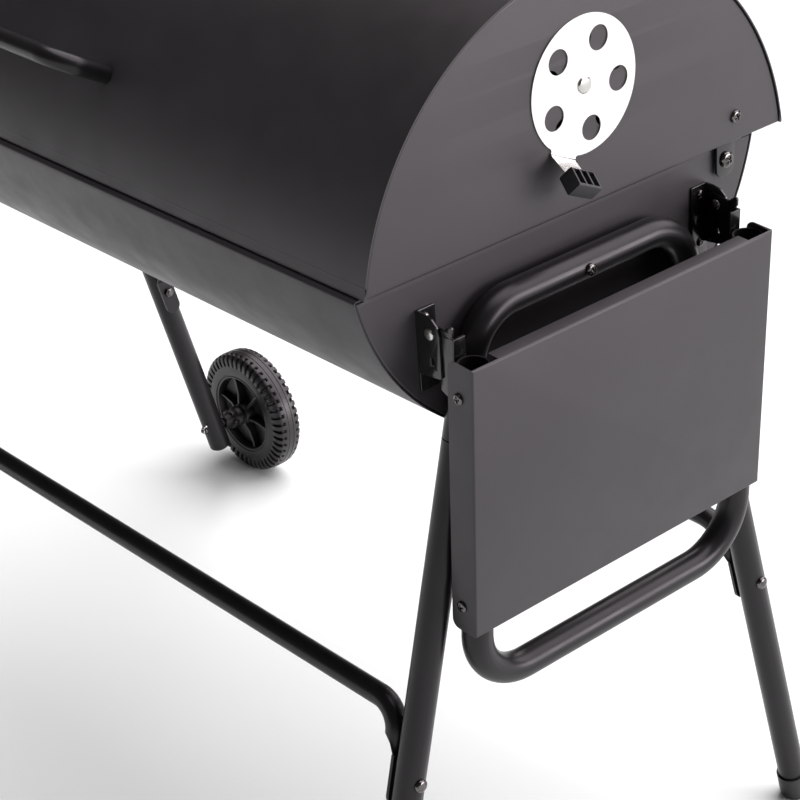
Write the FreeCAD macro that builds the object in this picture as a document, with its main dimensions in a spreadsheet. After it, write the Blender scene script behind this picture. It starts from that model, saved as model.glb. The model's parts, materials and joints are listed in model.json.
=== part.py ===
import FreeCAD, Part
import math
import os
import Sketcher

"""Barrel charcoal grill on two tube hoops, with a folding side shelf and two wheels.

Frame: +X along the barrel towards the shelf end, -Y the front, +Z up, ground at Z = 0, the
origin below the middle of the bounding box. Millimetres throughout.
"""

doc = FreeCAD.newDocument("BarrelGrill")
V = FreeCAD.Vector

# ----------------------------------------------------------------------------------------
# Driving dimensions
# ----------------------------------------------------------------------------------------
SIZES = {
    # barrel
    "bowl_radius": 220.0, "sheet": 1.2, "barrel_length": 877.0, "barrel_height": 753.0,
    "rim_drop": 46.9, "rim_ledge": 11.0, "shell_overhang": 0.0, "panel_flange": 12.0,
    "seam": 0.1, "bowl_panel_rise": 2.0,
    # lid
    "lid_radius": 229.0, "lid_offset": 16.8, "lid_drop": 79.6, "lid_seat": 0.3,
    "lid_panel_gap": 4.6, "lid_overhang": 1.0,
    # lid hinge
    "hinge_offset": 177.5, "hinge_drop": 59.5, "strap_gap": 2.0, "strap_thickness": 2.4,
    "strap_bore": 4.06, "hinge_bolt_radius": 4.0, "lid_screw_offset": 187.0,
    "lid_screw_drop": 24.9,
    # damper
    "damper_offset": 16.4, "damper_rise": 52.5, "damper_radius": 55.0, "damper_sheet": 1.0,
    "vent_pitch": 36.6, "vent_radius": 10.0, "vent_count": 5.0, "damper_turn": 244.1,
    "vent_lead": 27.0, "neck_width": 25.0, "neck_root": 52.0, "neck_length": 22.0,
    "neck_bend": 54.0,
    "grip_length": 17.0, "grip_thickness": 14.0, "grip_width": 26.0, "grip_bevel": 1.5,
    # leg hoops and legs
    "tube_radius": 12.7, "tube_wall": 1.4, "hoop_drop": 88.6, "hoop_bend": 45.0,
    "leg_spread": 86.5, "leg_splay": 14.1, "joint_drop": 188.0, "spigot": 40.0,
    "wheel_leg_end": 50.0, "foot_height": 30.0, "foot_sole": 5.0,
    # stretchers
    "bar_radius": 9.525, "bar_drop": 418.8, "tab_bolt_drop": 472.0, "tab_end_drop": 500.0,
    "tab_thickness": 3.0, "tab_width": 18.0, "bar_bend": 24.0, "bolt_radius": 3.0,
    # wheels
    "wheel_radius": 76.2, "wheel_width": 34.0, "wheel_face": 300.0, "axle_radius": 5.0,
    "wheel_bore": 5.08, "rim_radius": 45.0, "hub_radius": 12.0, "spoke_count": 6.0,
    "clip_bore": 2.1, "clip_wire": 0.9,
    # shelf
    "shelf_half": 163.8, "shelf_height": 238.0, "shelf_depth": 27.0, "shelf_sheet": 1.2,
    "pivot_out": 15.4, "pivot_drop": 88.2, "shelf_reach": 52.7, "shelf_top": 8.2,
    "shelf_lean": 2.86, "handle_bottom": 308.5, "handle_bend": 52.0, "pivot_radius": 3.0,
    # shelf hinge brackets
    "bracket_plane": 156.0, "bracket_sheet": 2.0, "bracket_width": 15.0,
    # grates
    "grate_drop": 62.0, "grate_half": 197.0, "coal_drop": 168.0, "coal_half": 126.0,
    "rod_radius": 2.5, "grate_pitch": 15.0, "coal_pitch": 22.0, "flat_bar": 3.0,
    # lid handle
    "lid_handle_half": 100.0, "lid_handle_stand": 50.0, "lid_handle_bend": 24.0,
    "lid_handle_turn": 30.0,
}

sheet = doc.addObject("Spreadsheet::Sheet", "Sizes")
for row, (alias, value) in enumerate(SIZES.items(), start=1):
    sheet.set("A%d" % row, alias)
    sheet.set("B%d" % row, str(value))
    sheet.setAlias("B%d" % row, alias)

# Derived cells. The shelf and the wheels are the furthest pieces along X, so the right face
# is where it is to put the origin below the middle of the bounding box.
DERIVED = {
    "shelf_edge": "=pivot_out + shelf_reach * cos(shelf_lean * 1 deg)"
                  " - shelf_top * sin(shelf_lean * 1 deg)",
    "right_face": "=(barrel_length + seam + tube_radius + wheel_radius - shelf_edge) / 2",
    "left_face": "=right_face - barrel_length",
    "slope": "=tan(leg_splay * 1 deg)",
    "bowl_inner": "=bowl_radius - sheet - seam",
    "lid_inner": "=lid_radius - sheet - seam",
}
for row, (alias, formula) in enumerate(DERIVED.items(), start=len(SIZES) + 1):
    sheet.set("A%d" % row, alias)
    sheet.set("B%d" % row, formula)
    sheet.setAlias("B%d" % row, alias)
doc.recompute()


def size(alias):
    """The value of a sheet cell, in millimetres or degrees."""
    value = getattr(sheet, alias)
    return float(getattr(value, "Value", value))


S = {alias: size(alias) for alias in list(SIZES) + list(DERIVED)}
CELL = "Sizes."
X_TURN = FreeCAD.Rotation(V(0, 1, 0), 90)
Y_TURN = FreeCAD.Rotation(V(1, 0, 0), -90)
NODES = []


def bind(text):
    """Turns plain cell names in a formula into references to the sheet."""
    out = ""
    word = ""
    for char in text + " ":
        if char.isalnum() or char == "_":
            word += char
            continue
        out += CELL + word if word in S else word
        out += char
        word = ""
    return out.strip()


def at(obj, x, y, z, rotation=None):
    """Places an object by three formulas of the sheet's cells."""
    obj.Placement = FreeCAD.Placement(V(0, 0, 0), rotation or FreeCAD.Rotation())
    for axis, text in zip("xyz", (x, y, z)):
        obj.setExpression("Placement.Base." + axis, bind(text))
    return obj


def rod(name, radius, length, x, y, z, rotation=X_TURN):
    """A cylinder whose axis starts at the given point, along +X unless turned otherwise."""
    obj = doc.addObject("Part::Cylinder", name)
    obj.setExpression("Radius", bind(radius))
    obj.setExpression("Height", bind(length))
    return at(obj, x, y, z, rotation)


def block(name, x, y, z, dx, dy, dz):
    """A box from its low corner and its three lengths."""
    obj = doc.addObject("Part::Box", name)
    for prop, text in zip(("Length", "Width", "Height"), (dx, dy, dz)):
        obj.setExpression(prop, bind(text))
    return at(obj, x, y, z)


def cut(name, base, tool):
    obj = doc.addObject("Part::Cut", name)
    obj.Base = base
    obj.Tool = tool
    return obj


def fuse(name, shapes):
    """The union of several shapes; one shape alone is its own union."""
    if len(shapes) == 1:
        return shapes[0]
    obj = doc.addObject("Part::MultiFuse", name)
    obj.Shapes = shapes
    return obj


def common(name, first, second):
    obj = doc.addObject("Part::MultiCommon", name)
    obj.Shapes = [first, second]
    return obj


def group(name, shapes):
    """Several separate solids kept in one node."""
    obj = doc.addObject("Part::Compound", name)
    obj.Links = shapes
    return obj


def node(obj, label):
    """Registers a finished sub-part under the name of its file."""
    obj.Label = label
    NODES.append(obj)
    return obj


def feature(label, shape):
    """A sub-part whose shape is worked out from the sheet's values."""
    obj = doc.addObject("Part::Feature", label)
    obj.Shape = shape
    obj.Placement = FreeCAD.Placement()
    return node(obj, label)


def new_body(name):
    return doc.addObject("PartDesign::Body", name)


def origin_plane(body, role):
    return next(f for f in body.Origin.OriginFeatures if f.Role == role)


def new_sketch(body, name, role):
    sketch = body.newObject("Sketcher::SketchObject", name)
    sketch.AttachmentSupport = [(origin_plane(body, role), "")]
    sketch.MapMode = "FlatFace"
    return sketch


def fix_point(sketch, geometry, position, u, v, name):
    """Binds one end of an edge to two formulas, measured from the sketch's origin."""
    for kind, text, tail in (("DistanceX", u, "_u"), ("DistanceY", v, "_v")):
        start = sketch.getPoint(geometry, position)
        value = start.x if kind == "DistanceX" else start.y
        index = sketch.addConstraint(Sketcher.Constraint(kind, -1, 1, geometry, position, value))
        sketch.renameConstraint(index, name + tail)
        sketch.setExpression("Constraints." + name + tail, bind(text))


def evaluate(text):
    """The number a formula of cell names gives now."""
    names = dict(S)
    out = ""
    word = ""
    for char in text + " ":
        if char.isalnum() or char in "_.":
            word += char
            continue
        out += repr(names[word]) if word in names else word
        out += char
        word = ""
    probe = sheet
    probe.set("D1", "=" + out.strip())
    doc.recompute([sheet])
    value = probe.get("D1")
    return float(getattr(value, "Value", value))


def outline(sketch, points, prefix="p"):
    """A closed outline of straight edges through points given as pairs of formulas."""
    values = [V(evaluate(u), evaluate(v), 0) for u, v in points]
    count = len(values)
    first = sketch.GeometryCount
    for i in range(count):
        sketch.addGeometry(Part.LineSegment(values[i], values[(i + 1) % count]), False)
    for i in range(count):
        sketch.addConstraint(
            Sketcher.Constraint("Coincident", first + i, 2, first + (i + 1) % count, 1))
    for i, (u, v) in enumerate(points):
        fix_point(sketch, first + i, 1, u, v, "%s%d" % (prefix, i))


def circle(sketch, radius, u, v, name):
    """A circle bound to a radius and a centre."""
    centre = V(evaluate(u), evaluate(v), 0)
    index = sketch.addGeometry(Part.Circle(centre, V(0, 0, 1), evaluate(radius)), False)
    ring = sketch.addConstraint(Sketcher.Constraint("Radius", index, evaluate(radius)))
    sketch.renameConstraint(ring, name + "_r")
    sketch.setExpression("Constraints." + name + "_r", bind(radius))
    fix_point(sketch, index, 3, u, v, name)


def pad(body, sketch, length, name, centred=False, reverse=False):
    obj = body.newObject("PartDesign::Pad", name)
    obj.Profile = sketch
    obj.setExpression("Length", bind(length))
    obj.Midplane = centred
    obj.Reversed = reverse
    return obj


def pocket_through(body, sketch, name):
    """A pocket through everything, both ways; the volume has to fall."""
    obj = body.newObject("PartDesign::Pocket", name)
    obj.Profile = sketch
    obj.Type = "ThroughAll"
    obj.Midplane = True
    return obj


def bent_half_tube(label, role, profile_role, across, start, end, bend, angle, radius, wall):
    """A tube bent in one plane, symmetric about its middle: half is swept, then mirrored.

    across is the tube's offset from the bending plane; start is the height of the straight
    middle; end is the pair (u, v) of the open end; angle is the end run's slope in degrees.
    """
    body = new_body(label.title().replace("_", ""))
    spine = new_sketch(body, label + "_spine", role)
    v0 = evaluate(start)
    u1, v1 = evaluate(end[0]), evaluate(end[1])
    r = evaluate(bend)
    slope = math.radians(evaluate(angle))
    run = V(math.cos(slope), math.sin(slope), 0)
    corner_u = u1 + (v0 - v1) / math.tan(slope)
    tangent = r * math.tan(abs(slope) / 2)
    side = 1 if v1 > v0 else -1
    first_end = V(corner_u - tangent, v0, 0)
    centre = V(first_end.x, v0 + side * r, 0)
    second_start = V(corner_u, v0, 0) + run * tangent
    middle_angle = side * (abs(slope) - math.pi) / 2
    middle = centre + V(math.cos(middle_angle), math.sin(middle_angle), 0) * r
    spine.addGeometry(Part.LineSegment(V(0, v0, 0), first_end), False)
    spine.addGeometry(Part.Arc(first_end, middle, second_start), False)
    spine.addGeometry(Part.LineSegment(second_start, V(u1, v1, 0)), False)
    arc_start, arc_end = (1, 2) if side > 0 else (2, 1)
    spine.addConstraint(Sketcher.Constraint("Tangent", 0, 2, 1, arc_start))
    spine.addConstraint(Sketcher.Constraint("Tangent", 1, arc_end, 2, 1))
    spine.addConstraint(Sketcher.Constraint("Horizontal", 0))
    fix_point(spine, 0, 1, "0", start, "middle")
    fix_point(spine, 2, 2, end[0], end[1], "end")
    ring = spine.addConstraint(Sketcher.Constraint("Radius", 1, r))
    spine.renameConstraint(ring, "bend")
    spine.setExpression("Constraints.bend", bind(bend))

    profile = new_sketch(body, label + "_profile", profile_role)
    circle(profile, radius, across, start, "outer")
    circle(profile, radius + " - " + wall, across, start, "inner")
    doc.recompute()
    pipe = body.newObject("PartDesign::AdditivePipe", label + "_pipe")
    pipe.Profile = profile
    pipe.Spine = (spine, ["Edge1", "Edge2", "Edge3"])
    doc.recompute()
    mirrored = body.newObject("PartDesign::Mirrored", label + "_mirror")
    mirrored.Originals = [pipe]
    mirrored.MirrorPlane = (origin_plane(body, profile_role), [""])
    body.Tip = mirrored
    return body


# ----------------------------------------------------------------------------------------
# Places used more than once, all in the sheet's formulas
# ----------------------------------------------------------------------------------------
AXIS_Z = "barrel_height"
RIM_Z = "(barrel_height - rim_drop)"
ENDS = {"right": ("right_face", 1), "left": ("left_face", -1)}
SIDES = {"front": -1, "rear": 1}


def leg_y(drop):
    """The leg's distance from the middle plane, at a drop below the barrel's axis."""
    return S["leg_spread"] + drop * S["slope"]


def out(face, sign, distance, thickness="0"):
    """The low X of something standing a distance outside an end face."""
    if sign > 0:
        return "%s + (%s)" % (face, distance)
    return "%s - (%s) - (%s)" % (face, distance, thickness)


# ----------------------------------------------------------------------------------------
# Bowl
# ----------------------------------------------------------------------------------------
def bowl_shell():
    """Rolled sheet: an arc of a circle, its two top edges folded inwards as ledges."""
    x = "left_face - shell_overhang"
    length = "barrel_length + 2 * shell_overhang"
    outer = rod("BowlOuter", "bowl_radius", length, x, "0", AXIS_Z)
    inner = rod("BowlInner", "bowl_radius - sheet", length + " + 2", x + " - 1", "0", AXIS_Z)
    ring = cut("BowlRing", outer, inner)
    below = block("BowlBelow", x + " - 1", "-bowl_radius - 1", "barrel_height - bowl_radius - 1",
                  length + " + 2", "2 * bowl_radius + 2", "bowl_radius + 1 - rim_drop")
    wall = common("BowlWall", ring, below)
    ledges = []
    edge = "sqrt(bowl_radius ^ 2 - rim_drop ^ 2) - 0.6"
    for side, sign in SIDES.items():
        low_y = "-(%s)" % edge if sign < 0 else "%s - rim_ledge" % edge
        ledges.append(block("Ledge" + side, x, low_y, RIM_Z + " - sheet",
                            length, "rim_ledge", "sheet"))
    node(fuse("BowlShell", [wall] + ledges), "bowl_shell")


def bowl_end(end):
    """Pressed end panel: a disc cut off along the rim, with a flange turned into the shell."""
    face, sign = ENDS[end]
    panel_x = face + " - sheet" if sign > 0 else face
    flange_x = face + " - panel_flange" if sign > 0 else face
    disc = rod("BowlDisc" + end, "bowl_inner", "sheet", panel_x, "0", AXIS_Z)
    outer = rod("BowlRimOuter" + end, "bowl_inner", "panel_flange", flange_x, "0", AXIS_Z)
    inner = rod("BowlRimInner" + end, "bowl_inner - sheet", "panel_flange", flange_x, "0",
                AXIS_Z)
    ring = cut("BowlRimRing" + end, outer, inner)
    low = block("BowlFlangeLow" + end, flange_x, "-bowl_radius", "barrel_height - bowl_radius",
                "panel_flange", "2 * bowl_radius", "bowl_radius - rim_drop - 2 * sheet")
    flange = common("BowlFlange" + end, ring, low)
    half = "bowl_inner - rim_ledge - 5"
    high = block("BowlPanelHigh" + end, panel_x, "-(%s)" % half, RIM_Z + " - 2 * sheet",
                 "sheet", "2 * (%s)" % half, "2 * sheet + bowl_panel_rise")
    below = block("BowlPanelLow" + end, panel_x, "-bowl_radius", "barrel_height - bowl_radius",
                  "sheet", "2 * bowl_radius", "bowl_radius - rim_drop - 2 * sheet")
    panel = common("BowlPanel" + end, disc, below)
    whole = fuse("BowlEndBlank" + end, [panel, flange, high])
    holes = [
        rod("BowlPivotHole" + end, "hinge_bolt_radius + 0.1", "8",
            face + " - 4", "hinge_offset", AXIS_Z + " - hinge_drop"),
        rod("BowlHoopHole" + end, "bolt_radius + 0.1", "8", face + " - 4", "0",
            AXIS_Z + " - hoop_drop"),
    ]
    node(cut("BowlEnd" + end, whole, fuse("BowlEndHoles" + end, holes)), "bowl_end_" + end)


def grate_rests():
    """Angle strips along the inside walls for the cooking grates, and two for the coals."""
    for side, sign in SIDES.items():
        top = "barrel_height - grate_drop - 9"
        low_y = "-206" if sign < 0 else "192"
        strip = block("GrateShelf" + side, "left_face + 14", low_y, top,
                      "barrel_length - 28", "14", "1.5")
        node(strip, "grate_rest_" + side)
    for end, (face, sign) in ENDS.items():
        x = face + " - 26" if sign > 0 else face + " + 12.2"
        node(block("CoalShelf" + end, x, "-110", "barrel_height - coal_drop - 9",
                   "13.8", "220", "1.5"), "coal_rest_" + end)


def grate(label, x, length, half, drop, pitch):
    """A welded grate: a flat-bar frame with round rods across it, front to rear."""
    height = 8.0
    z = S["barrel_height"] - drop - height + 0.6
    bar = S["flat_bar"]
    outer = Part.makeBox(length, 2 * half, height, V(x, -half, z))
    inner = Part.makeBox(length - 2 * bar, 2 * half - 2 * bar, height + 2,
                         V(x + bar, -half + bar, z - 1))
    frame = outer.cut(inner)
    rods = []
    count = int(round((length - 2 * bar) / pitch)) - 1
    step = (length - 2 * bar) / (count + 1)
    for i in range(count):
        start = V(x + bar + step * (i + 1), -half + bar / 2, z + height - S["rod_radius"])
        rods.append(Part.makeCylinder(S["rod_radius"], 2 * half - bar, start, V(0, 1, 0)))
    feature(label, frame.multiFuse(rods))


def grates():
    """Two cooking grates end to end and one charcoal grate below them."""
    left = S["left_face"] + 15
    length = (S["barrel_length"] - 30 - 3) / 2
    grate("cooking_grate_left", left, length, S["grate_half"], S["grate_drop"],
          S["grate_pitch"])
    grate("cooking_grate_right", left + length + 3, length, S["grate_half"], S["grate_drop"],
          S["grate_pitch"])
    grate("charcoal_grate", left, S["barrel_length"] - 30, S["coal_half"], S["coal_drop"],
          S["coal_pitch"])


# ----------------------------------------------------------------------------------------
# Lid
# ----------------------------------------------------------------------------------------
LID_Z = "(barrel_height - lid_drop)"
LID_EDGE_Z = "(barrel_height - rim_drop + lid_seat)"


def lid_shell():
    """Rolled sheet over the bowl, longer than the bowl and overhanging it at the rear."""
    reach = "(lid_panel_gap + sheet + lid_overhang)"
    x = "left_face - " + reach
    length = "barrel_length + 2 * " + reach
    outer = rod("LidOuter", "lid_radius", length, x, "lid_offset", LID_Z)
    inner = rod("LidInner", "lid_radius - sheet", length + " + 2", x + " - 1", "lid_offset",
                LID_Z)
    ring = cut("LidRing", outer, inner)
    above = block("LidAbove", x + " - 1", "-lid_radius", LID_EDGE_Z, length + " + 2",
                  "2 * lid_radius + 2 * lid_offset", "lid_radius")
    wall = common("LidWall", ring, above)
    holes = [rod("LidHandleHole%d" % i, "bolt_radius + 0.1", "20", "0", "0", "0")
             for i in range(2)]
    turn = FreeCAD.Rotation(V(1, 0, 0), 90 - S["lid_handle_turn"])
    for sign, hole in zip((-1, 1), holes):
        at(hole, "left_face + barrel_length / 2 + %d * lid_handle_half" % sign,
           "lid_offset - (lid_radius - 12) * cos(lid_handle_turn * 1 deg)",
           LID_Z + " + (lid_radius - 12) * sin(lid_handle_turn * 1 deg)", turn)
    node(cut("LidShell", wall, fuse("LidHandleHoles", holes)), "lid_shell")


def lid_end(end):
    """Lid end panel outside the bowl's, with the ring of vent holes on the damper's end."""
    face, sign = ENDS[end]
    panel_x = out(face, sign, "lid_panel_gap", "sheet")
    if sign > 0:
        flange_x = face + " + lid_panel_gap + sheet - panel_flange"
    else:
        flange_x = face + " - lid_panel_gap - sheet"
    disc = rod("LidDisc" + end, "lid_inner", "sheet", panel_x, "lid_offset", LID_Z)
    outer = rod("LidRimOuter" + end, "lid_inner", "panel_flange", flange_x, "lid_offset", LID_Z)
    inner = rod("LidRimInner" + end, "lid_inner - sheet", "panel_flange", flange_x,
                "lid_offset", LID_Z)
    ring = cut("LidRimRing" + end, outer, inner)
    whole = fuse("LidEndBlank" + end, [disc, ring])
    above = block("LidEndAbove" + end, flange_x + " - 1", "-lid_radius", LID_EDGE_Z,
                  "panel_flange + 2", "2 * lid_radius + 2 * lid_offset", "lid_radius")
    panel = common("LidEndTrim" + end, whole, above)
    holes = [rod("LidScrewHole" + end, "bolt_radius + 0.1", "10",
                 panel_x + " - 4", "lid_screw_offset", AXIS_Z + " - lid_screw_drop")]
    if end == "right":
        holes.append(rod("DamperHole", "hinge_bolt_radius + 0.1", "10", panel_x + " - 4",
                         "damper_offset", AXIS_Z + " + damper_rise"))
        for i in range(int(S["vent_count"])):
            angle = "(damper_turn + 36 + vent_lead + %d * 72) * 1 deg" % i
            holes.append(rod("VentHole%d" % i, "vent_radius", "10", panel_x + " - 4",
                             "damper_offset + vent_pitch * cos(%s)" % angle,
                             AXIS_Z + " + damper_rise + vent_pitch * sin(%s)" % angle))
    node(cut("LidEnd" + end, panel, fuse("LidEndHoles" + end, holes)), "lid_end_" + end)


def lid_strap(end):
    """Flat strap screwed inside the lid's panel; it turns on a bolt in the bowl's panel."""
    face, sign = ENDS[end]
    body = new_body("LidStrap" + end.title())
    sketch = new_sketch(body, "strap_outline_" + end, "YZ_Plane")
    left = "hinge_offset - 10.5"
    right = "hinge_offset + 10.5"
    points = [(left, "-hinge_drop - 14"), ("hinge_offset + 7", "-hinge_drop - 14.8"),
              (right, "-hinge_drop - 11"), (right, "-hinge_drop + 12"),
              ("lid_screw_offset + 11", "-lid_screw_drop - 6"),
              ("lid_screw_offset + 11", "-lid_screw_drop + 9"),
              ("lid_screw_offset + 7", "-lid_screw_drop + 13"),
              ("lid_screw_offset - 9", "-lid_screw_drop + 13"),
              (left, "-lid_screw_drop + 9")]
    outline(sketch, points)
    circle(sketch, "strap_bore", "hinge_offset", "-hinge_drop", "pivot")
    circle(sketch, "bolt_radius + 0.1", "lid_screw_offset", "-lid_screw_drop", "screw")
    pad(body, sketch, "strap_thickness", "strap_plate_" + end)
    at(body, out(face, sign, "strap_gap", "strap_thickness"), "0", "barrel_height")
    node(body, "lid_strap_" + end)


def hinge_hardware():
    """Pivot bolts with their spacing washers, and the screws that hold straps to the lid."""
    bolts = []
    washers = []
    screws = []
    for end, (face, sign) in ENDS.items():
        y = "hinge_offset"
        z = AXIS_Z + " - hinge_drop"
        shank_x = face + " - 6" if sign > 0 else face + " - 4.5"
        head_x = face + " + 4.5" if sign > 0 else face + " - 8.3"
        nut_x = face + " - 6.5" if sign > 0 else face + " + 1.3"
        shank = rod("PivotShank" + end, "hinge_bolt_radius", "10.5", shank_x, y, z)
        head = rod("PivotHead" + end, "7", "3.8", head_x, y, z)
        nut = rod("PivotNut" + end, "6.5", "5.2", nut_x, y, z)
        bolts.append(fuse("PivotBolt" + end, [shank, head, nut]))
        washer = rod("WasherDisc" + end, "8", "1.8", out(face, sign, "0.1", "1.8"), y, z)
        hole = rod("WasherHole" + end, "hinge_bolt_radius + 0.1", "4",
                   out(face, sign, "-1", "4"), y, z)
        washers.append(cut("Washer" + end, washer, hole))
        y = "lid_screw_offset"
        z = AXIS_Z + " - lid_screw_drop"
        shank = rod("LidScrewShank" + end, "bolt_radius", "6.5",
                    out(face, sign, "1", "6.5"), y, z)
        head = rod("LidScrewHead" + end, "5.5", "3",
                   out(face, sign, "lid_panel_gap + sheet + 0.05", "3"), y, z)
        screws.append(fuse("LidScrew" + end, [shank, head]))
    node(group("PivotBolts", bolts), "hinge_bolts")
    node(group("PivotWashers", washers), "hinge_washers")
    node(group("LidScrews", screws), "lid_strap_screws")


def lid_handle():
    """Bent tube standing off the lid's front, with its two fixing screws inside the lid."""
    body = bent_half_tube("lid_handle", "XZ_Plane", "YZ_Plane", "0", "lid_handle_stand",
                          ("lid_handle_half", "0.4"), "lid_handle_bend", "-90",
                          "bar_radius - 1.5", "5")
    turn = FreeCAD.Rotation(V(1, 0, 0), 90 - S["lid_handle_turn"])
    at(body, "left_face + barrel_length / 2",
       "lid_offset - lid_radius * cos(lid_handle_turn * 1 deg)",
       LID_Z + " + lid_radius * sin(lid_handle_turn * 1 deg)", turn)
    node(body, "lid_handle")
    feet = []
    for name, sign in (("a", -1), ("b", 1)):
        x = "left_face + barrel_length / 2 + %d * lid_handle_half" % sign
        shank = rod("HandleScrewShank" + name, "bolt_radius", "16", x,
                    "lid_offset - (lid_radius - 4) * cos(lid_handle_turn * 1 deg)",
                    LID_Z + " + (lid_radius - 4) * sin(lid_handle_turn * 1 deg)", turn)
        head = rod("HandleScrewHead" + name, "6", "2.6", x,
                   "lid_offset - (lid_radius - 4) * cos(lid_handle_turn * 1 deg)",
                   LID_Z + " + (lid_radius - 4) * sin(lid_handle_turn * 1 deg)", turn)
        feet.append(fuse("HandleScrew" + name, [shank, head]))
    node(group("HandleScrews", feet), "lid_handle_screws")


# ----------------------------------------------------------------------------------------
# Damper
# ----------------------------------------------------------------------------------------
def bent_point(along, across):
    """A point beyond the damper neck's bend, along the bent neck and across its sheet."""
    slope = "(neck_bend * 1 deg)"
    u = "damper_sheet + (%s) * sin%s - (%s) * cos%s" % (along, slope, across, slope)
    v = "neck_root + (%s) * cos%s + (%s) * sin%s" % (along, slope, across, slope)
    return u, v


def damper():
    """Turning disc with five holes over the lid panel's vents, its grip and its rivet."""
    face_x = "right_face + lid_panel_gap + sheet + 0.15"
    body = new_body("DamperDisc")
    sketch = new_sketch(body, "disc_outline", "YZ_Plane")
    circle(sketch, "damper_radius", "0", "0", "rim")
    pad(body, sketch, "damper_sheet", "disc_plate")
    neck = new_sketch(body, "neck_outline", "XY_Plane")
    outline(neck, [("0", "neck_root - 6"), ("damper_sheet", "neck_root - 6"),
                   bent_point("damper_sheet * 0.5", "0"), bent_point("neck_length", "0"),
                   bent_point("neck_length", "damper_sheet"),
                   bent_point("-damper_sheet * 0.5", "damper_sheet")])
    pad(body, neck, "neck_width", "neck_plate", centred=True)
    holes = new_sketch(body, "disc_holes", "YZ_Plane")
    circle(holes, "hinge_bolt_radius + 0.06", "0", "0", "pivot")
    pocket_through(body, holes, "pivot_hole")
    vent = new_sketch(body, "vent_hole_outline", "YZ_Plane")
    circle(vent, "vent_radius", "vent_pitch * cos(36 deg)", "vent_pitch * sin(36 deg)", "vent")
    vent_cut = pocket_through(body, vent, "vent_hole")
    pattern = body.newObject("PartDesign::PolarPattern", "vent_ring")
    pattern.Originals = [vent_cut]
    pattern.Axis = (holes, ["N_Axis"])
    pattern.Angle = 360
    pattern.setExpression("Occurrences", bind("vent_count"))
    body.Tip = pattern
    turn = FreeCAD.Rotation(V(1, 0, 0), S["damper_turn"])
    at(body, face_x, "damper_offset", AXIS_Z + " + damper_rise", turn)
    node(body, "damper_disc")

    tab = new_body("DamperGrip")
    profile = new_sketch(tab, "grip_outline", "XY_Plane")
    start = "neck_length + 0.1"
    far = start + " + grip_length"
    top = "grip_thickness / 2"
    outline(profile, [bent_point(start, "grip_bevel - " + top),
                      bent_point(start + " + grip_bevel", "-" + top),
                      bent_point(far + " - grip_bevel", "-" + top),
                      bent_point(far, "grip_bevel - " + top),
                      bent_point(far, top + " - grip_bevel"),
                      bent_point(far + " - grip_bevel", top),
                      bent_point(start + " + grip_bevel", top),
                      bent_point(start, top + " - grip_bevel")])
    pad(tab, profile, "grip_width", "grip_block", centred=True)
    at(tab, face_x, "damper_offset", AXIS_Z + " + damper_rise",
       FreeCAD.Rotation(V(1, 0, 0), S["damper_turn"]))
    node(tab, "damper_grip")

    y = "damper_offset"
    z = AXIS_Z + " + damper_rise"
    shank = rod("DamperShank", "hinge_bolt_radius", "8", "right_face + 1", y, z)
    head = rod("DamperHead", "7", "2.2", face_x + " + damper_sheet + 0.1", y, z)
    tail = rod("DamperTail", "6", "2", "right_face + lid_panel_gap - 2.1", y, z)
    node(fuse("DamperRivet", [shank, head, tail]), "damper_rivet")


# ----------------------------------------------------------------------------------------
# Hoops, legs and feet
# ----------------------------------------------------------------------------------------
def leg_rotation(sign):
    """Turns +Z to the direction of a leg, downwards and outwards."""
    splay = math.radians(S["leg_splay"])
    down = V(0, sign * math.sin(splay), -math.cos(splay))
    return FreeCAD.Rotation(V(0, 0, 1), down)


def leg_point(sign, drop):
    """A point on a leg's axis as formulas, at a drop below the barrel's axis."""
    y = "%d * (leg_spread + slope * (%s))" % (sign, drop)
    return y, "barrel_height - (%s)" % drop


def hoop_x(end):
    face, sign = ENDS[end]
    return "%s %s (tube_radius + seam)" % (face, "+" if sign > 0 else "-")


def leg_hoop(end):
    """Inverted U of tube screwed to the end panel; its ends are spigots for the legs."""
    end_drop = "(joint_drop - 1)"
    body = bent_half_tube("leg_hoop_" + end, "YZ_Plane", "XZ_Plane", "0", "-hoop_drop",
                          ("leg_spread + slope * " + end_drop, "-" + end_drop),
                          "hoop_bend", "leg_splay - 90", "tube_radius", "tube_wall")
    at(body, hoop_x(end), "0", "barrel_height")
    pieces = [body]
    for side, sign in SIDES.items():
        y, z = leg_point(sign, "joint_drop - 6")
        outer = rod("Spigot%s%s" % (end, side), "tube_radius - tube_wall - 0.1", "spigot + 6",
                    hoop_x(end), y, z, leg_rotation(sign))
        inner = rod("SpigotBore%s%s" % (end, side), "tube_radius - 2 * tube_wall - 0.1",
                    "spigot + 8", hoop_x(end), y, z, leg_rotation(sign))
        collar = rod("Collar%s%s" % (end, side), "tube_radius - 0.05", "5.2",
                     hoop_x(end), y, z, leg_rotation(sign))
        pieces.append(cut("SpigotTube%s%s" % (end, side),
                          fuse("SpigotSolid%s%s" % (end, side), [outer, collar]), inner))
    whole = fuse("HoopBlank" + end, pieces)
    face, sign = ENDS[end]
    hole = rod("HoopHole" + end, "bolt_radius + 0.1", "32", out(face, sign, "-2", "28"), "0",
               AXIS_Z + " - hoop_drop")
    node(cut("LegHoop" + end, whole, hole), "leg_hoop_" + end)


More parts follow.
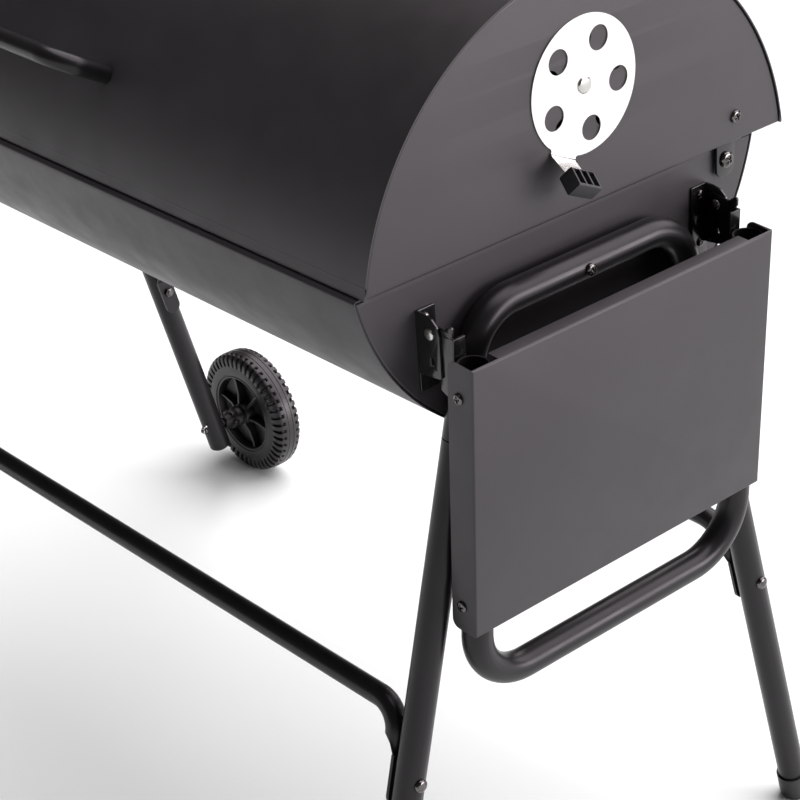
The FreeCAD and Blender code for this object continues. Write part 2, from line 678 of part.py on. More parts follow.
def leg_tube(end, side):
    """Straight lower leg sleeved over the hoop's spigot, with its bolt hole."""
    sign = SIDES[side]
    name = end + side
    y, z = leg_point(sign, "joint_drop")
    splay = "cos(leg_splay * 1 deg)"
    if end == "right":
        length = "(barrel_height - joint_drop) / %s + 10" % splay
    else:
        length = "(barrel_height - joint_drop - wheel_leg_end) / %s" % splay
    turn = leg_rotation(sign)
    outer = rod("LegOuter" + name, "tube_radius", length, hoop_x(end), y, z, turn)
    inner = rod("LegInner" + name, "tube_radius - tube_wall", length + " + 2", hoop_x(end), y, z,
                turn)
    tube = cut("LegTubeBlank" + name, outer, inner)
    face, end_sign = ENDS[end]
    bolt_y, bolt_z = leg_point(sign, "tab_bolt_drop")
    cuts = [rod("LegBoltHole" + name, "bolt_radius + 0.1", "32",
                out(face, end_sign, "-2", "28"), bolt_y, bolt_z)]
    if end == "right":
        cuts.append(block("LegGround" + name, hoop_x(end) + " - 30", "-500", "-100", "60", "1000",
                          "100 + foot_sole"))
    else:
        axle_y, axle_z = leg_point(sign, "barrel_height - wheel_radius")
        cuts.append(rod("LegAxleHole" + name, "axle_radius + 0.1", "60", hoop_x(end),
                        axle_y + " - 30", axle_z, Y_TURN))
    label = "leg_%s_%s" % (side, end)
    node(cut("Leg" + name, tube, fuse("LegCuts" + name, cuts)), label)


def foot_cap(side):
    """Moulded cap on the lower end of a leg without a wheel, cut level with the ground."""
    sign = SIDES[side]
    turn = leg_rotation(sign)
    y, z = leg_point(sign, "barrel_height - foot_height")
    outer = rod("FootOuter" + side, "tube_radius + 2", "foot_height + 12", hoop_x("right"), y, z,
                turn)
    ground = block("FootGround" + side, hoop_x("right") + " - 40", "-500", "-100", "80", "1000",
                   "100")
    solid = cut("FootSolid" + side, outer, ground)
    pocket = rod("FootPocket" + side, "tube_radius + 0.08", "foot_height + 12",
                 hoop_x("right"), y, z, turn)
    sole = block("FootSole" + side, hoop_x("right") + " - 40", "-500", "-100", "80", "1000",
                 "100 + foot_sole - 0.2")
    core = cut("FootCore" + side, pocket, sole)
    node(cut("Foot" + side, solid, core), "foot_cap_" + side)


def leg_plug(side):
    """Rounded plug closing the lower end of a leg that carries a wheel."""
    sign = SIDES[side]
    turn = leg_rotation(sign)
    y, z = leg_point(sign, "barrel_height - wheel_leg_end + 0.1")
    disc = rod("PlugDisc" + side, "tube_radius", "3.4", hoop_x("left"), y, z, turn)
    ball = doc.addObject("Part::Sphere", "PlugBall" + side)
    ball.Radius = 28
    ball_y, ball_z = leg_point(sign, "barrel_height - wheel_leg_end - 24.6 * cos(leg_splay * 1 deg)")
    at(ball, hoop_x("left"), ball_y, ball_z)
    flange = common("PlugFlange" + side, disc, ball)
    y, z = leg_point(sign, "barrel_height - wheel_leg_end - 14")
    stem = rod("PlugStem" + side, "tube_radius - tube_wall - 0.1", "16", hoop_x("left"), y, z,
               turn)
    node(fuse("Plug" + side, [flange, stem]), "leg_plug_" + side)


def hoop_screws():
    """The screw through the middle of each hoop into its end panel."""
    screws = []
    for end, (face, sign) in ENDS.items():
        z = AXIS_Z + " - hoop_drop"
        shank = rod("HoopShank" + end, "bolt_radius", "2 * tube_radius + 8",
                    out(face, sign, "-7.5", "2 * tube_radius + 8"), "0", z)
        head = rod("HoopHead" + end, "5.5", "3", out(face, sign, "2 * tube_radius + 1.5 * seam", "3"),
                   "0", z)
        nut = rod("HoopNut" + end, "5", "4", out(face, sign, "-5.3", "4"), "0", z)
        screws.append(fuse("HoopScrew" + end, [shank, head, nut]))
    node(group("HoopScrews", screws), "hoop_screws")


# ----------------------------------------------------------------------------------------
# Stretchers
# ----------------------------------------------------------------------------------------
def flat_section(centre, width_dir, thick_dir, width, thickness):
    """A rectangle with round corners, as a closed wire about a centre."""
    half_w = width / 2 - thickness / 2
    half_t = thickness / 2
    a = centre + width_dir * half_w + thick_dir * half_t
    b = centre + width_dir * half_w - thick_dir * half_t
    c = centre - width_dir * half_w - thick_dir * half_t
    d = centre - width_dir * half_w + thick_dir * half_t
    right = centre + width_dir * (half_w + half_t)
    left = centre - width_dir * (half_w + half_t)
    edges = [Part.Arc(a, right, b).toShape(), Part.LineSegment(b, c).toShape(),
             Part.Arc(c, left, d).toShape(), Part.LineSegment(d, a).toShape()]
    return Part.Wire(edges)


def stretcher_end(face, sign, side):
    """One bent and flattened end, running down the inner side of a leg."""
    splay = math.radians(S["leg_splay"])
    down = V(0, side * math.sin(splay), -math.cos(splay))
    across = V(0, side * math.cos(splay), math.sin(splay))
    inward = V(-sign, 0, 0)
    radius = S["bar_radius"]
    bend = S["bar_bend"]
    y = side * leg_y(S["bar_drop"])
    z = S["barrel_height"] - S["bar_drop"]
    tube_x = face - sign * (radius + 0.15)
    corner = V(tube_x, y, z)
    start = corner + inward * bend
    stop = corner + down * bend
    centre = corner + inward * bend + down * bend
    profile = Part.Wire(Part.Circle(start, V(1, 0, 0), radius).toShape())
    elbow = Part.Face(profile).revolve(centre, down.cross(inward), 90)
    thickness = S["tab_thickness"]
    flat_centre = stop + down * 14 - inward * (radius - thickness / 2)
    ring = Part.Wire(Part.Circle(stop, down, radius).toShape())
    flat = flat_section(flat_centre, across, inward, S["tab_width"], thickness)
    neck = Part.makeLoft([ring, flat], True, True)
    end_drop = S["barrel_height"] - S["tab_end_drop"]
    length = (flat_centre.z - end_drop) / math.cos(splay) - S["tab_width"] / 2
    low = flat_centre - inward * (thickness / 2) - across * (S["tab_width"] / 2)
    width = across * S["tab_width"]
    corners = [low, low + width, low + width + down * length, low + down * length, low]
    plate = Part.Face(Part.makePolygon(corners)).extrude(inward * thickness)
    tip_centre = flat_centre - inward * (thickness / 2) + down * length
    tip = Part.makeCylinder(S["tab_width"] / 2, thickness, tip_centre, inward)
    return start, [elbow, neck, plate, tip]


def stretcher(side_name):
    """Tube between the two frames, low down, with bent and flattened ends."""
    side = SIDES[side_name]
    starts = []
    pieces = []
    for face_name, sign in ENDS.values():
        start, parts = stretcher_end(S[face_name], sign, side)
        starts.append(start)
        pieces += parts
    length = abs(starts[0].x - starts[1].x)
    low = min(starts, key=lambda point: point.x)
    bar = Part.makeCylinder(S["bar_radius"], length, low, V(1, 0, 0))
    solid = bar.multiFuse(pieces)
    bolt_y = side * leg_y(S["tab_bolt_drop"])
    bolt_z = S["barrel_height"] - S["tab_bolt_drop"]
    for face_name, sign in ENDS.values():
        hole = Part.makeCylinder(S["bolt_radius"] + 0.1, 30,
                                 V(S[face_name] - 15, bolt_y, bolt_z), V(1, 0, 0))
        solid = solid.cut(hole)
    feature("stretcher_" + side_name, solid.removeSplitter())


def stretcher_bolts():
    """Bolts through the legs and the stretchers' tabs, with domed nuts inside."""
    bolts = []
    nuts = []
    for end, (face, sign) in ENDS.items():
        for side, y_sign in SIDES.items():
            name = end + side
            y, z = leg_point(y_sign, "tab_bolt_drop")
            shank = rod("BoltShank" + name, "bolt_radius", "2 * tube_radius + 8.6",
                        out(face, sign, "-8.5", "2 * tube_radius + 8.6"), y, z)
            head = rod("BoltHead" + name, "6", "3.5",
                       out(face, sign, "2 * tube_radius + 1.5 * seam", "3.5"), y, z)
            bolts.append(fuse("Bolt" + name, [shank, head]))
            disc = rod("NutDisc" + name, "5.5", "4.5",
                       out(face, sign, "-7.9", "4.5"), y, z)
            hole = rod("NutHole" + name, "bolt_radius + 0.05", "8",
                       out(face, sign, "-10", "8"), y, z)
            nuts.append(cut("Nut" + name, disc, hole))
    node(group("StretcherBolts", bolts), "stretcher_bolts")
    node(group("StretcherNuts", nuts), "stretcher_nuts")


# ----------------------------------------------------------------------------------------
# Wheels
# ----------------------------------------------------------------------------------------
def wheel_x():
    return hoop_x("left")


def wheel(side):
    """One-piece moulded wheel: tread ring, dished web with ribs, and a long hub."""
    sign = SIDES[side]
    body = new_body("Wheel" + side.title())
    profile = new_sketch(body, "wheel_section_" + side, "XY_Plane")
    half = "wheel_width / 2"
    outline(profile, [("wheel_bore", "-(%s) - 1" % half), ("hub_radius", "-(%s) - 1" % half),
                      ("hub_radius", "1"), ("rim_radius - 3", "3"),
                      ("rim_radius - 3", "-(%s) + 1" % half),
                      ("rim_radius + 3", "-(%s)" % half), ("wheel_radius - 9", "-(%s)" % half),
                      ("wheel_radius - 3", "-(%s) + 5" % half), ("wheel_radius", "-8"),
                      ("wheel_radius", "8"), ("wheel_radius - 3", "%s - 5" % half),
                      ("wheel_radius - 9", half), ("rim_radius + 3", half),
                      ("rim_radius - 3", "%s - 1" % half), ("rim_radius - 3", "8"),
                      ("hub_radius", "6"), ("hub_radius", "%s + 1" % half),
                      ("wheel_bore", "%s + 1" % half)])
    turn = body.newObject("PartDesign::Revolution", "wheel_turned_" + side)
    turn.Profile = profile
    turn.ReferenceAxis = (profile, ["V_Axis"])
    turn.Angle = 360
    rib = new_sketch(body, "rib_outline_" + side, "YZ_Plane")
    outline(rib, [("-13", "hub_radius - 1"), ("2.5", "hub_radius - 1"),
                  ("4", "rim_radius - 2"), ("-8", "rim_radius - 2")])
    web = pad(body, rib, "4", "rib_" + side, centred=True)
    pattern = body.newObject("PartDesign::PolarPattern", "ribs_" + side)
    pattern.Originals = [web]
    pattern.Axis = (profile, ["V_Axis"])
    pattern.Angle = 360
    pattern.setExpression("Occurrences", bind("spoke_count"))
    body.Tip = pattern
    rotation = FreeCAD.Rotation() if sign > 0 else FreeCAD.Rotation(V(0, 0, 1), 180)
    at(body, wheel_x(), "%d * (wheel_face + wheel_width / 2)" % sign, "wheel_radius", rotation)
    node(body, "wheel_" + side)


def axle_parts():
    """Headed axle pins through leg and wheel, spacer tubes, washers and spring clips."""
    spacers = []
    washers = []
    clips = []
    for side, sign in SIDES.items():
        turn = Y_TURN if sign > 0 else FreeCAD.Rotation(V(1, 0, 0), 90)
        x, z = wheel_x(), "wheel_radius"

        def along(name, radius, length, start):
            return rod(name + side, radius, length, x, "%d * (%s)" % (sign, start), z, turn)

        pin = along("AxlePin", "axle_radius", "wheel_face + wheel_width + 4 - 242.2", "242.2")
        head = along("AxleHead", "11", "4", "wheel_face + wheel_width + 3.2")
        stub = along("AxleStub", "clip_bore - 0.1", "5", "238.8")
        node(fuse("Axle" + side, [pin, head, stub]), "axle_" + side)
        spacers.append(cut("Spacer" + side,
                           along("SpacerOuter", "8.5", "wheel_face - 4 - 273.4", "273.4"),
                           along("SpacerBore", "axle_radius + 0.1", "40", "268")))
        washers.append(cut("AxleWasher" + side,
                           along("AxleWasherDisc", "12", "1.6",
                                 "wheel_face + wheel_width + 1.3"),
                           along("AxleWasherHole", "axle_radius + 0.1", "6",
                                 "wheel_face + wheel_width")))
        washers.append(cut("AxleWasherInner" + side,
                           along("AxleWasherInnerDisc", "12", "1.6", "wheel_face - 3.0"),
                           along("AxleWasherInnerHole", "axle_radius + 0.1", "6",
                                 "wheel_face - 5")))
        clip_y = "%d * 240.8" % sign
        tail = rod("ClipTail" + side, "clip_wire", "11", x + " + 1.8", clip_y, z + " + 2.4",
                   FreeCAD.Rotation(V(0, 0, 1), V(0.6, 0, 0.8)))
        ring = doc.addObject("Part::Torus", "ClipRing" + side)
        ring.setExpression("Radius1", bind("clip_bore + clip_wire"))
        ring.setExpression("Radius2", bind("clip_wire"))
        at(ring, x, clip_y, z, FreeCAD.Rotation(V(1, 0, 0), 90))
        clips.append(fuse("Clip" + side, [tail, ring]))
    node(group("AxleSpacers", spacers), "axle_spacers")
    node(group("AxleWashers", washers), "axle_washers")
    node(group("AxleClips", clips), "axle_clips")


# ----------------------------------------------------------------------------------------
# Side shelf: built hanging straight down from its pivots, then leaned in by a few degrees
# ----------------------------------------------------------------------------------------
PIVOT = ("right_face + pivot_out", "0", "barrel_height - pivot_drop")
LEAN = FreeCAD.Rotation(V(0, 1, 0), S["shelf_lean"])


def shelf_frame(obj):
    """Puts a piece modelled about the pivot line into its folded place."""
    return at(obj, PIVOT[0], PIVOT[1], PIVOT[2], LEAN)


def shelf_panel():
    """Pressed tray: front face, side flanges and short top and bottom flanges."""
    body = new_body("ShelfPanel")
    face = new_sketch(body, "shelf_tray", "YZ_Plane")
    half = "shelf_half"
    outline(face, [("-" + half, "-shelf_top"), (half, "-shelf_top"),
                   (half, "-shelf_top - shelf_height"), ("-" + half, "-shelf_top - shelf_height")])
    block_pad = pad(body, face, "shelf_reach", "shelf_block")
    doc.recompute()
    hollow = new_sketch(body, "shelf_hollow", "YZ_Plane")
    wall = "shelf_sheet"
    outline(hollow, [("-%s + %s" % (half, wall), "-shelf_top - " + wall),
                     ("%s - %s" % (half, wall), "-shelf_top - " + wall),
                     ("%s - %s" % (half, wall), "-shelf_top - shelf_height + " + wall),
                     ("-%s + %s" % (half, wall), "-shelf_top - shelf_height + " + wall)])
    inside = body.newObject("PartDesign::Pocket", "shelf_inside")
    inside.Profile = hollow
    inside.setExpression("Length", bind("shelf_reach - shelf_sheet"))
    inside.Reversed = True
    trim = new_sketch(body, "shelf_back_trim", "YZ_Plane")
    outline(trim, [("-%s - 1" % half, "-shelf_top + 1"), ("%s + 1" % half, "-shelf_top + 1"),
                   ("%s + 1" % half, "-shelf_top - shelf_height - 1"),
                   ("-%s - 1" % half, "-shelf_top - shelf_height - 1")])
    back = body.newObject("PartDesign::Pocket", "shelf_back")
    back.Profile = trim
    back.setExpression("Length", bind("shelf_reach - shelf_depth"))
    back.Reversed = True
    notch = new_sketch(body, "shelf_flange_trim", "YZ_Plane")
    outline(notch, [("-%s + %s" % (half, wall), "-shelf_top + 1"),
                    ("%s - %s" % (half, wall), "-shelf_top + 1"),
                    ("%s - %s" % (half, wall), "-shelf_top - shelf_height - 1"),
                    ("-%s + %s" % (half, wall), "-shelf_top - shelf_height - 1")])
    short = body.newObject("PartDesign::Pocket", "shelf_short_flanges")
    short.Profile = notch
    short.setExpression("Length", bind("shelf_reach - 13"))
    short.Reversed = True
    ends = new_sketch(body, "shelf_corner_notches", "YZ_Plane")
    clear = "(shelf_sheet + 2 * tube_radius + 0.7)"
    for i, sign in enumerate((-1, 1)):
        edge = "%d * (%s - %s)" % (sign, half, wall)
        inner = "%d * (%s - %s)" % (sign, half, clear)
        for j, (high, low) in enumerate((
                ("-shelf_top + 1", "-shelf_top - " + wall),
                ("-shelf_top - shelf_height + " + wall, "-shelf_top - shelf_height - 1"))):
            outline(ends, [(edge, high), (inner, high), (inner, low), (edge, low)],
                    prefix="n%d%d_" % (i, j))
    corners = body.newObject("PartDesign::Pocket", "shelf_corners")
    corners.Profile = ends
    corners.setExpression("Length", bind("shelf_reach - shelf_sheet"))
    corners.Reversed = True
    shelf_frame(body)
    holes = []
    for i, (sign, drop) in enumerate(((-1, 37), (-1, 223), (1, 37), (1, 223))):
        hole = rod("ShelfHole%d" % i, "2.6", "10", "0", "0", "0")
        y = sign * (S["shelf_half"] - 5)
        place = local_place(S["shelf_reach"] - 15.3, y, -drop, FreeCAD.Rotation(V(1, 0, 0),
                                                                              -90 * sign))
        hole.Placement = place
        hole.setExpression("Placement.Base.x", None)
        hole.setExpression("Placement.Base.y", None)
        hole.setExpression("Placement.Base.z", None)
        hole.Placement = place
        holes.append(hole)
    node(cut("Shelf", body, fuse("ShelfHoles", holes)), "shelf_panel")


def pivot_point():
    return V(S["right_face"] + S["pivot_out"], 0, S["barrel_height"] - S["pivot_drop"])


def local_place(u, y, w, rotation=None):
    """The place of something given from the pivot line in the shelf's own directions."""
    spot = pivot_point() + LEAN.multVec(V(u, y, w))
    return FreeCAD.Placement(spot, LEAN.multiply(rotation or FreeCAD.Rotation()))


def shelf_handle():
    """U of tube inside the side flanges; its lower bend is the grip and towel rail."""
    body = bent_half_tube("shelf_handle", "YZ_Plane", "XZ_Plane",
                          "shelf_reach - shelf_sheet - tube_radius - 0.15", "-handle_bottom",
                          ("shelf_half - shelf_sheet - tube_radius - 0.15", "-shelf_top - 4"),
                          "handle_bend", "90", "tube_radius", "tube_wall")
    return body


def shelf_screws():
    """Four screws through the side flanges into the handle tube."""
    screws = []
    u = S["shelf_reach"] - 15.3
    for i, (sign, drop) in enumerate(((-1, 37), (-1, 223), (1, 37), (1, 223))):
        outward = FreeCAD.Rotation(V(1, 0, 0), -90 * sign)
        y = sign * (S["shelf_half"] + 0.05)
        head = Part.makeCylinder(4.8, 2.4)
        shank = Part.makeCylinder(2.5, 6, V(0, 0, -6))
        screw = head.fuse(shank)
        screw.Placement = local_place(u, y, -drop, outward)
        screws.append(screw)
    feature("shelf_screws", Part.makeCompound(screws))


def handle_with_holes():
    """The handle tube placed in the shelf, with holes for the four side screws."""
    body = shelf_handle()
    shelf_frame(body)
    holes = []
    u = S["shelf_reach"] - 15.3
    for i, (sign, drop) in enumerate(((-1, 37), (-1, 223), (1, 37), (1, 223))):
        hole = doc.addObject("Part::Cylinder", "HandleHole%d" % i)
        hole.Radius = 2.6
        hole.Height = 12
        hole.Placement = local_place(u, sign * (S["shelf_half"] - 10), -drop,
                                     FreeCAD.Rotation(V(1, 0, 0), -90 * sign))
        holes.append(hole)
    node(cut("ShelfHandle", body, fuse("HandleHoles", holes)), "shelf_handle")


def hinge_plate(side):
    """Plate welded to the handle tube; it turns on the bracket's rivet."""
    sign = SIDES[side]
    body = new_body("HingePlate" + side.title())
    sketch = new_sketch(body, "hinge_plate_outline_" + side, "XZ_Plane")
    tube_back = "shelf_reach - shelf_sheet - 2 * tube_radius"
    outline(sketch, [("-8", "8"), ("-3", "9"), ("13", "7.5"), ("18.4", "12.4"),
                     ("22.1", "12.8"), ("22.1", "6"), ("20.2", "3.6"), ("24.4", "3.6"), ("24.4", "-14.8"),
                     (tube_back + " + 0.4", "-18"), (tube_back + " + 0.4", "-46.8"),
                     ("15.6", "-46.8"), ("9.4", "-44.2"), ("9.7", "-34.5"), ("3", "-20"),
                     ("-7", "-9"), ("-11", "-2"), ("-11", "4")])
    circle(sketch, "pivot_radius + 0.06", "0", "0", "pivot")
    plate = pad(body, sketch, "bracket_sheet", "hinge_plate_sheet_" + side)
    tab = new_sketch(body, "hinge_tab_outline_" + side, "XZ_Plane")
    outline(tab, [("24.4 - bracket_sheet", "3.6"), ("24.4", "3.6"), ("24.4", "-14.8"),
                  ("24.4 - bracket_sheet", "-14.8")])
    bent = pad(body, tab, "11.5", "hinge_tab_" + side)
    for obj in (plate, bent):
        obj.Reversed = sign < 0
    at(body, PIVOT[0], "%d * (bracket_plane - 0.15)" % sign, PIVOT[2], LEAN)
    node(body, "hinge_plate_" + side)


def shelf_bracket(side):
    """Angle plate on the end panel: a screwed flange and an ear with the shelf's rivet."""
    sign = SIDES[side]
    body = new_body("ShelfBracket" + side.title())
    ear = new_sketch(body, "ear_outline_" + side, "XZ_Plane")
    out_x = "pivot_out + 10.5"
    outline(ear, [("0.1", "14.5"), ("10", "14.3"), ("18", "12.6"), ("23.5", "8"),
                  (out_x, "1"), (out_x, "-34.5"), ("4", "-37.5"), ("0.1", "-37")])
    circle(ear, "pivot_radius + 0.05", "pivot_out", "0", "pivot")
    outline(ear, [("15.2", "-19.5"), ("18.2", "-19.5"), ("18.8", "-26.5"), ("15.8", "-26.5")],
            prefix="slot")
    ear_pad = pad(body, ear, "bracket_sheet", "ear_" + side)
    flange = new_sketch(body, "flange_outline_" + side, "XZ_Plane")
    outline(flange, [("0.1", "14.5"), ("0.1 + bracket_sheet", "14.5"),
                     ("0.1 + bracket_sheet", "-53"), ("0.1", "-53")])
    flange_pad = pad(body, flange, "bracket_width + bracket_sheet", "flange_" + side)
    ear_pad.Reversed = sign > 0
    flange_pad.Reversed = sign < 0
    at(body, "right_face", "%d * bracket_plane" % sign, PIVOT[2])
    face = rod("BracketHoleUp" + side, "2.6", "6", "right_face - 1",
               "%d * (bracket_plane - 6.4)" % sign, PIVOT[2] + " + 6.5")
    low = rod("BracketHoleLow" + side, "2.6", "6", "right_face - 1",
              "%d * (bracket_plane - 6.4)" % sign, PIVOT[2] + " - 36")
    node(cut("Bracket" + side, body, fuse("BracketHoles" + side, [face, low])),
         "shelf_bracket_" + side)


def bracket_hardware():
    """Pan-head screws of the brackets and the two shelf pivot rivets."""
    screws = []
    rivets = []
    for side, sign in SIDES.items():
        for i, rise in enumerate(("6.5", "-36")):
            name = "%s%d" % (side, i)
            y = "%d * (bracket_plane - 6.4)" % sign
            z = PIVOT[2] + " + " + rise
            head = rod("BracketHead" + name, "3.9", "2.2",
                       "right_face + 0.15 + bracket_sheet", y, z)
            shank = rod("BracketShank" + name, "2.5", "2.2", "right_face + 0.05", y, z)
            screws.append(fuse("BracketScrew" + name, [head, shank]))
        turn = Y_TURN if sign > 0 else FreeCAD.Rotation(V(1, 0, 0), 90)

        def along(name, radius, length, start):
            return rod(name + side, radius, length, PIVOT[0], "%d * (%s)" % (sign, start),
                       PIVOT[2], turn)

        shank = along("RivetShank", "pivot_radius", "5.9", "bracket_plane - 3.2")
        head = along("RivetHead", "4.6", "1.8", "bracket_plane + bracket_sheet + 0.05")
        tail = along("RivetTail", "4.2", "1.4", "bracket_plane - 0.15 - bracket_sheet - 1.5")
        rivets.append(fuse("Rivet" + side, [shank, head, tail]))
    node(group("BracketScrews", screws), "bracket_screws")
    node(group("PivotRivets", rivets), "shelf_pivots")


# ----------------------------------------------------------------------------------------
# Build
# ----------------------------------------------------------------------------------------
bowl_shell()
for end_name in ENDS:
    bowl_end(end_name)
    lid_end(end_name)
    lid_strap(end_name)
    leg_hoop(end_name)
    for side_name in SIDES:
        leg_tube(end_name, side_name)
grate_rests()
grates()
lid_shell()
hinge_hardware()
lid_handle()
damper()
hoop_screws()
stretcher_bolts()
for side_name in SIDES:
    foot_cap(side_name)
    leg_plug(side_name)
    stretcher(side_name)
    wheel(side_name)
    hinge_plate(side_name)
    shelf_bracket(side_name)
axle_parts()
shelf_panel()
handle_with_holes()
shelf_screws()
bracket_hardware()
sheet.clear("D1")
doc.recompute()

failed = [obj.Label for obj in doc.Objects if {"Invalid", "Error"} & set(obj.State)]
if failed:
    raise SystemExit("failed objects: " + ", ".join(failed))
for item in NODES:
    if item.Shape.isNull() or not item.Shape.isValid():
        raise SystemExit("bad shape: " + item.Label)

os.makedirs("parts", exist_ok=True)
for item in NODES:
    item.Shape.exportStep("parts/%s.step" % item.Label)
    box = item.Shape.BoundBox
    print("%-22s %9.1f mm3  solids %d  x %.1f..%.1f y %.1f..%.1f z %.1f..%.1f" % (
        item.Label, item.Shape.Volume, len(item.Shape.Solids), box.XMin, box.XMax, box.YMin,
        box.YMax, box.ZMin, box.ZMax))
print("nodes", len(NODES))
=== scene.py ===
import json
import math

import bmesh
import bpy
from mathutils import Matrix, Vector
from mathutils.geometry import tessellate_polygon


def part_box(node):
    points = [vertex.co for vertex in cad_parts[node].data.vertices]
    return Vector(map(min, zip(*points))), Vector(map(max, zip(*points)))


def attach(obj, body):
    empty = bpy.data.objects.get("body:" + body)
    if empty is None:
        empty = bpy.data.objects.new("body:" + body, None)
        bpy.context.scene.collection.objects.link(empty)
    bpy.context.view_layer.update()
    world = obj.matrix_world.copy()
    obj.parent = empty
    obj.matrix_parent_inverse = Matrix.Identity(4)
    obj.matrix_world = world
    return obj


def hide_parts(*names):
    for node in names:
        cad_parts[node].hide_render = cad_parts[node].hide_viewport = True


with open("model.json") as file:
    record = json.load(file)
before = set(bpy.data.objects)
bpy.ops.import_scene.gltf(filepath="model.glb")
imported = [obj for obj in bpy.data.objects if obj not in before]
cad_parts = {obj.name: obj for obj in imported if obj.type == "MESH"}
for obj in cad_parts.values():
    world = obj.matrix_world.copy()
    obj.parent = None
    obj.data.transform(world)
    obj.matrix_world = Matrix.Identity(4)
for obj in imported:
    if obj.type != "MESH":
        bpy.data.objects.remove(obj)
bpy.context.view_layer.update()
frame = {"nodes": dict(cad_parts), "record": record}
NODE_SLOT = {part["node"]: part["material_slot"] for part in frame["record"]["subparts"]}
NODE_BODY = {node: body for body, nodes in frame["record"]["behaviour"]["bodies"].items()
             for node in nodes}

# Everything is in metres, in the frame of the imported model: +X along the barrel towards the
# shelf, -Y the front, +Z up, ground at Z = 0.
MM = 0.001
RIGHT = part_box("bowl_end_right")[1].x
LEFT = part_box("bowl_end_left")[0].x
BOWL_RADIUS = 220 * MM
AXIS_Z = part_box("bowl_shell")[0].z + BOWL_RADIUS


# ------------------------------------------------------------------------------- camera
def camera():
    """Stands to the right of the shelf end and above it, a long lens with a little shift."""
    data = bpy.data.cameras.new("camera")
    data.sensor_width = 36.0
    data.lens = 106.1
    data.shift_x = -0.0236
    data.shift_y = 0.0510
    data.clip_start = 0.05
    data.clip_end = 50.0
    cam = bpy.data.objects.new("camera", data)
    bpy.context.scene.collection.objects.link(cam)
    right = Vector((0.66328, 0.74612, -0.05798))
    up = Vector((-0.33243, 0.36317, 0.87040))
    back = right.cross(up)
    turn = Matrix((right, up, back)).transposed().to_4x4()
    place = Vector((RIGHT + 1.19839, -1.15933, AXIS_Z + 0.69160))
    cam.matrix_world = Matrix.Translation(place) @ turn
    bpy.context.scene.camera = cam


# ---------------------------------------------------------------------------- materials
def shader(name):
    """A new material with its tree, its surface shader and a source of object coordinates."""
    mat = bpy.data.materials.new(name)
    mat.use_nodes = True
    tree = mat.node_tree
    principled = tree.nodes["Principled BSDF"]
    coords = tree.nodes.new("ShaderNodeTexCoord").outputs["Object"]
    return mat, tree, principled, coords


def noise(tree, coords, size, detail=3.0, stretch=(1, 1, 1)):
    """Noise whose features are about the given size in metres, stretched along each axis."""
    mapping = tree.nodes.new("ShaderNodeMapping")
    mapping.inputs["Scale"].default_value = [1 / s for s in stretch]
    tree.links.new(coords, mapping.inputs["Vector"])
    node = tree.nodes.new("ShaderNodeTexNoise")
    node.inputs["Scale"].default_value = 1 / size
    node.inputs["Detail"].default_value = detail
    tree.links.new(mapping.outputs["Vector"], node.inputs["Vector"])
    return node.outputs["Fac"]


def spread(tree, value, low, high):
    """Maps the middle of a noise to a range of values."""
    node = tree.nodes.new("ShaderNodeMapRange")
    node.inputs["From Min"].default_value = 0.35
    node.inputs["From Max"].default_value = 0.65
    node.inputs["To Min"].default_value = low
    node.inputs["To Max"].default_value = high
    tree.links.new(value, node.inputs["Value"])
    return node.outputs["Result"]


def shade(tree, value, dark, light):
    """Blends two colours by a noise."""
    node = tree.nodes.new("ShaderNodeMix")
    node.data_type = "RGBA"
    node.inputs["A"].default_value = (*dark, 1)
    node.inputs["B"].default_value = (*light, 1)
    tree.links.new(spread(tree, value, 0.0, 1.0), node.inputs["Factor"])
    return node.outputs["Result"]


def bump(tree, principled, heights):
    """Adds up several heights, given as (noise, depth in metres), into one bump."""
    normal = None
    for height, depth in heights:
        node = tree.nodes.new("ShaderNodeBump")
        node.inputs["Strength"].default_value = 1.0
        node.inputs["Distance"].default_value = depth
        tree.links.new(height, node.inputs["Height"])
        if normal:
            tree.links.new(normal, node.inputs["Normal"])
        normal = node.outputs["Normal"]
    tree.links.new(normal, principled.inputs["Normal"])


def finish_material(name, dark, light, rough, metallic=0.0, grain=0.6 * MM, depth=0.02 * MM,
                    specular=0.5, coat=0.0, patch=0.12):
    """A surface with cloudy colour, a varying roughness and a fine grain."""
    mat, tree, principled, coords = shader(name)
    clouds = noise(tree, coords, patch)
    fine = noise(tree, coords, grain, detail=2.0)
    smudges = noise(tree, coords, 0.03, detail=5.0)
    tree.links.new(shade(tree, clouds, dark, light), principled.inputs["Base Color"])
    tree.links.new(spread(tree, smudges, rough - 0.04, rough + 0.04),
                   principled.inputs["Roughness"])
    principled.inputs["Metallic"].default_value = metallic
    principled.inputs["Specular IOR Level"].default_value = specular
    principled.inputs["Specular Tint"].default_value = (1.0, 0.96, 1.0, 1)
    principled.inputs["Coat Weight"].default_value = coat
    principled.inputs["Coat Roughness"].default_value = 0.12
    bump(tree, principled, [(fine, depth), (smudges, depth * 2)])
    return mat


def brushed_material(name, dark, light, rough, stretch, line=0.25 * MM):
    """Bright metal with fine lines left by rolling or brushing."""
    mat, tree, principled, coords = shader(name)
    lines = noise(tree, coords, line, detail=2.0, stretch=stretch)
    smudges = noise(tree, coords, 0.02, detail=5.0)
    tree.links.new(shade(tree, smudges, dark, light), principled.inputs["Base Color"])
    tree.links.new(spread(tree, smudges, rough - 0.03, rough + 0.05),
                   principled.inputs["Roughness"])
    principled.inputs["Metallic"].default_value = 1.0
    bump(tree, principled, [(lines, 0.004 * MM)])
    return mat


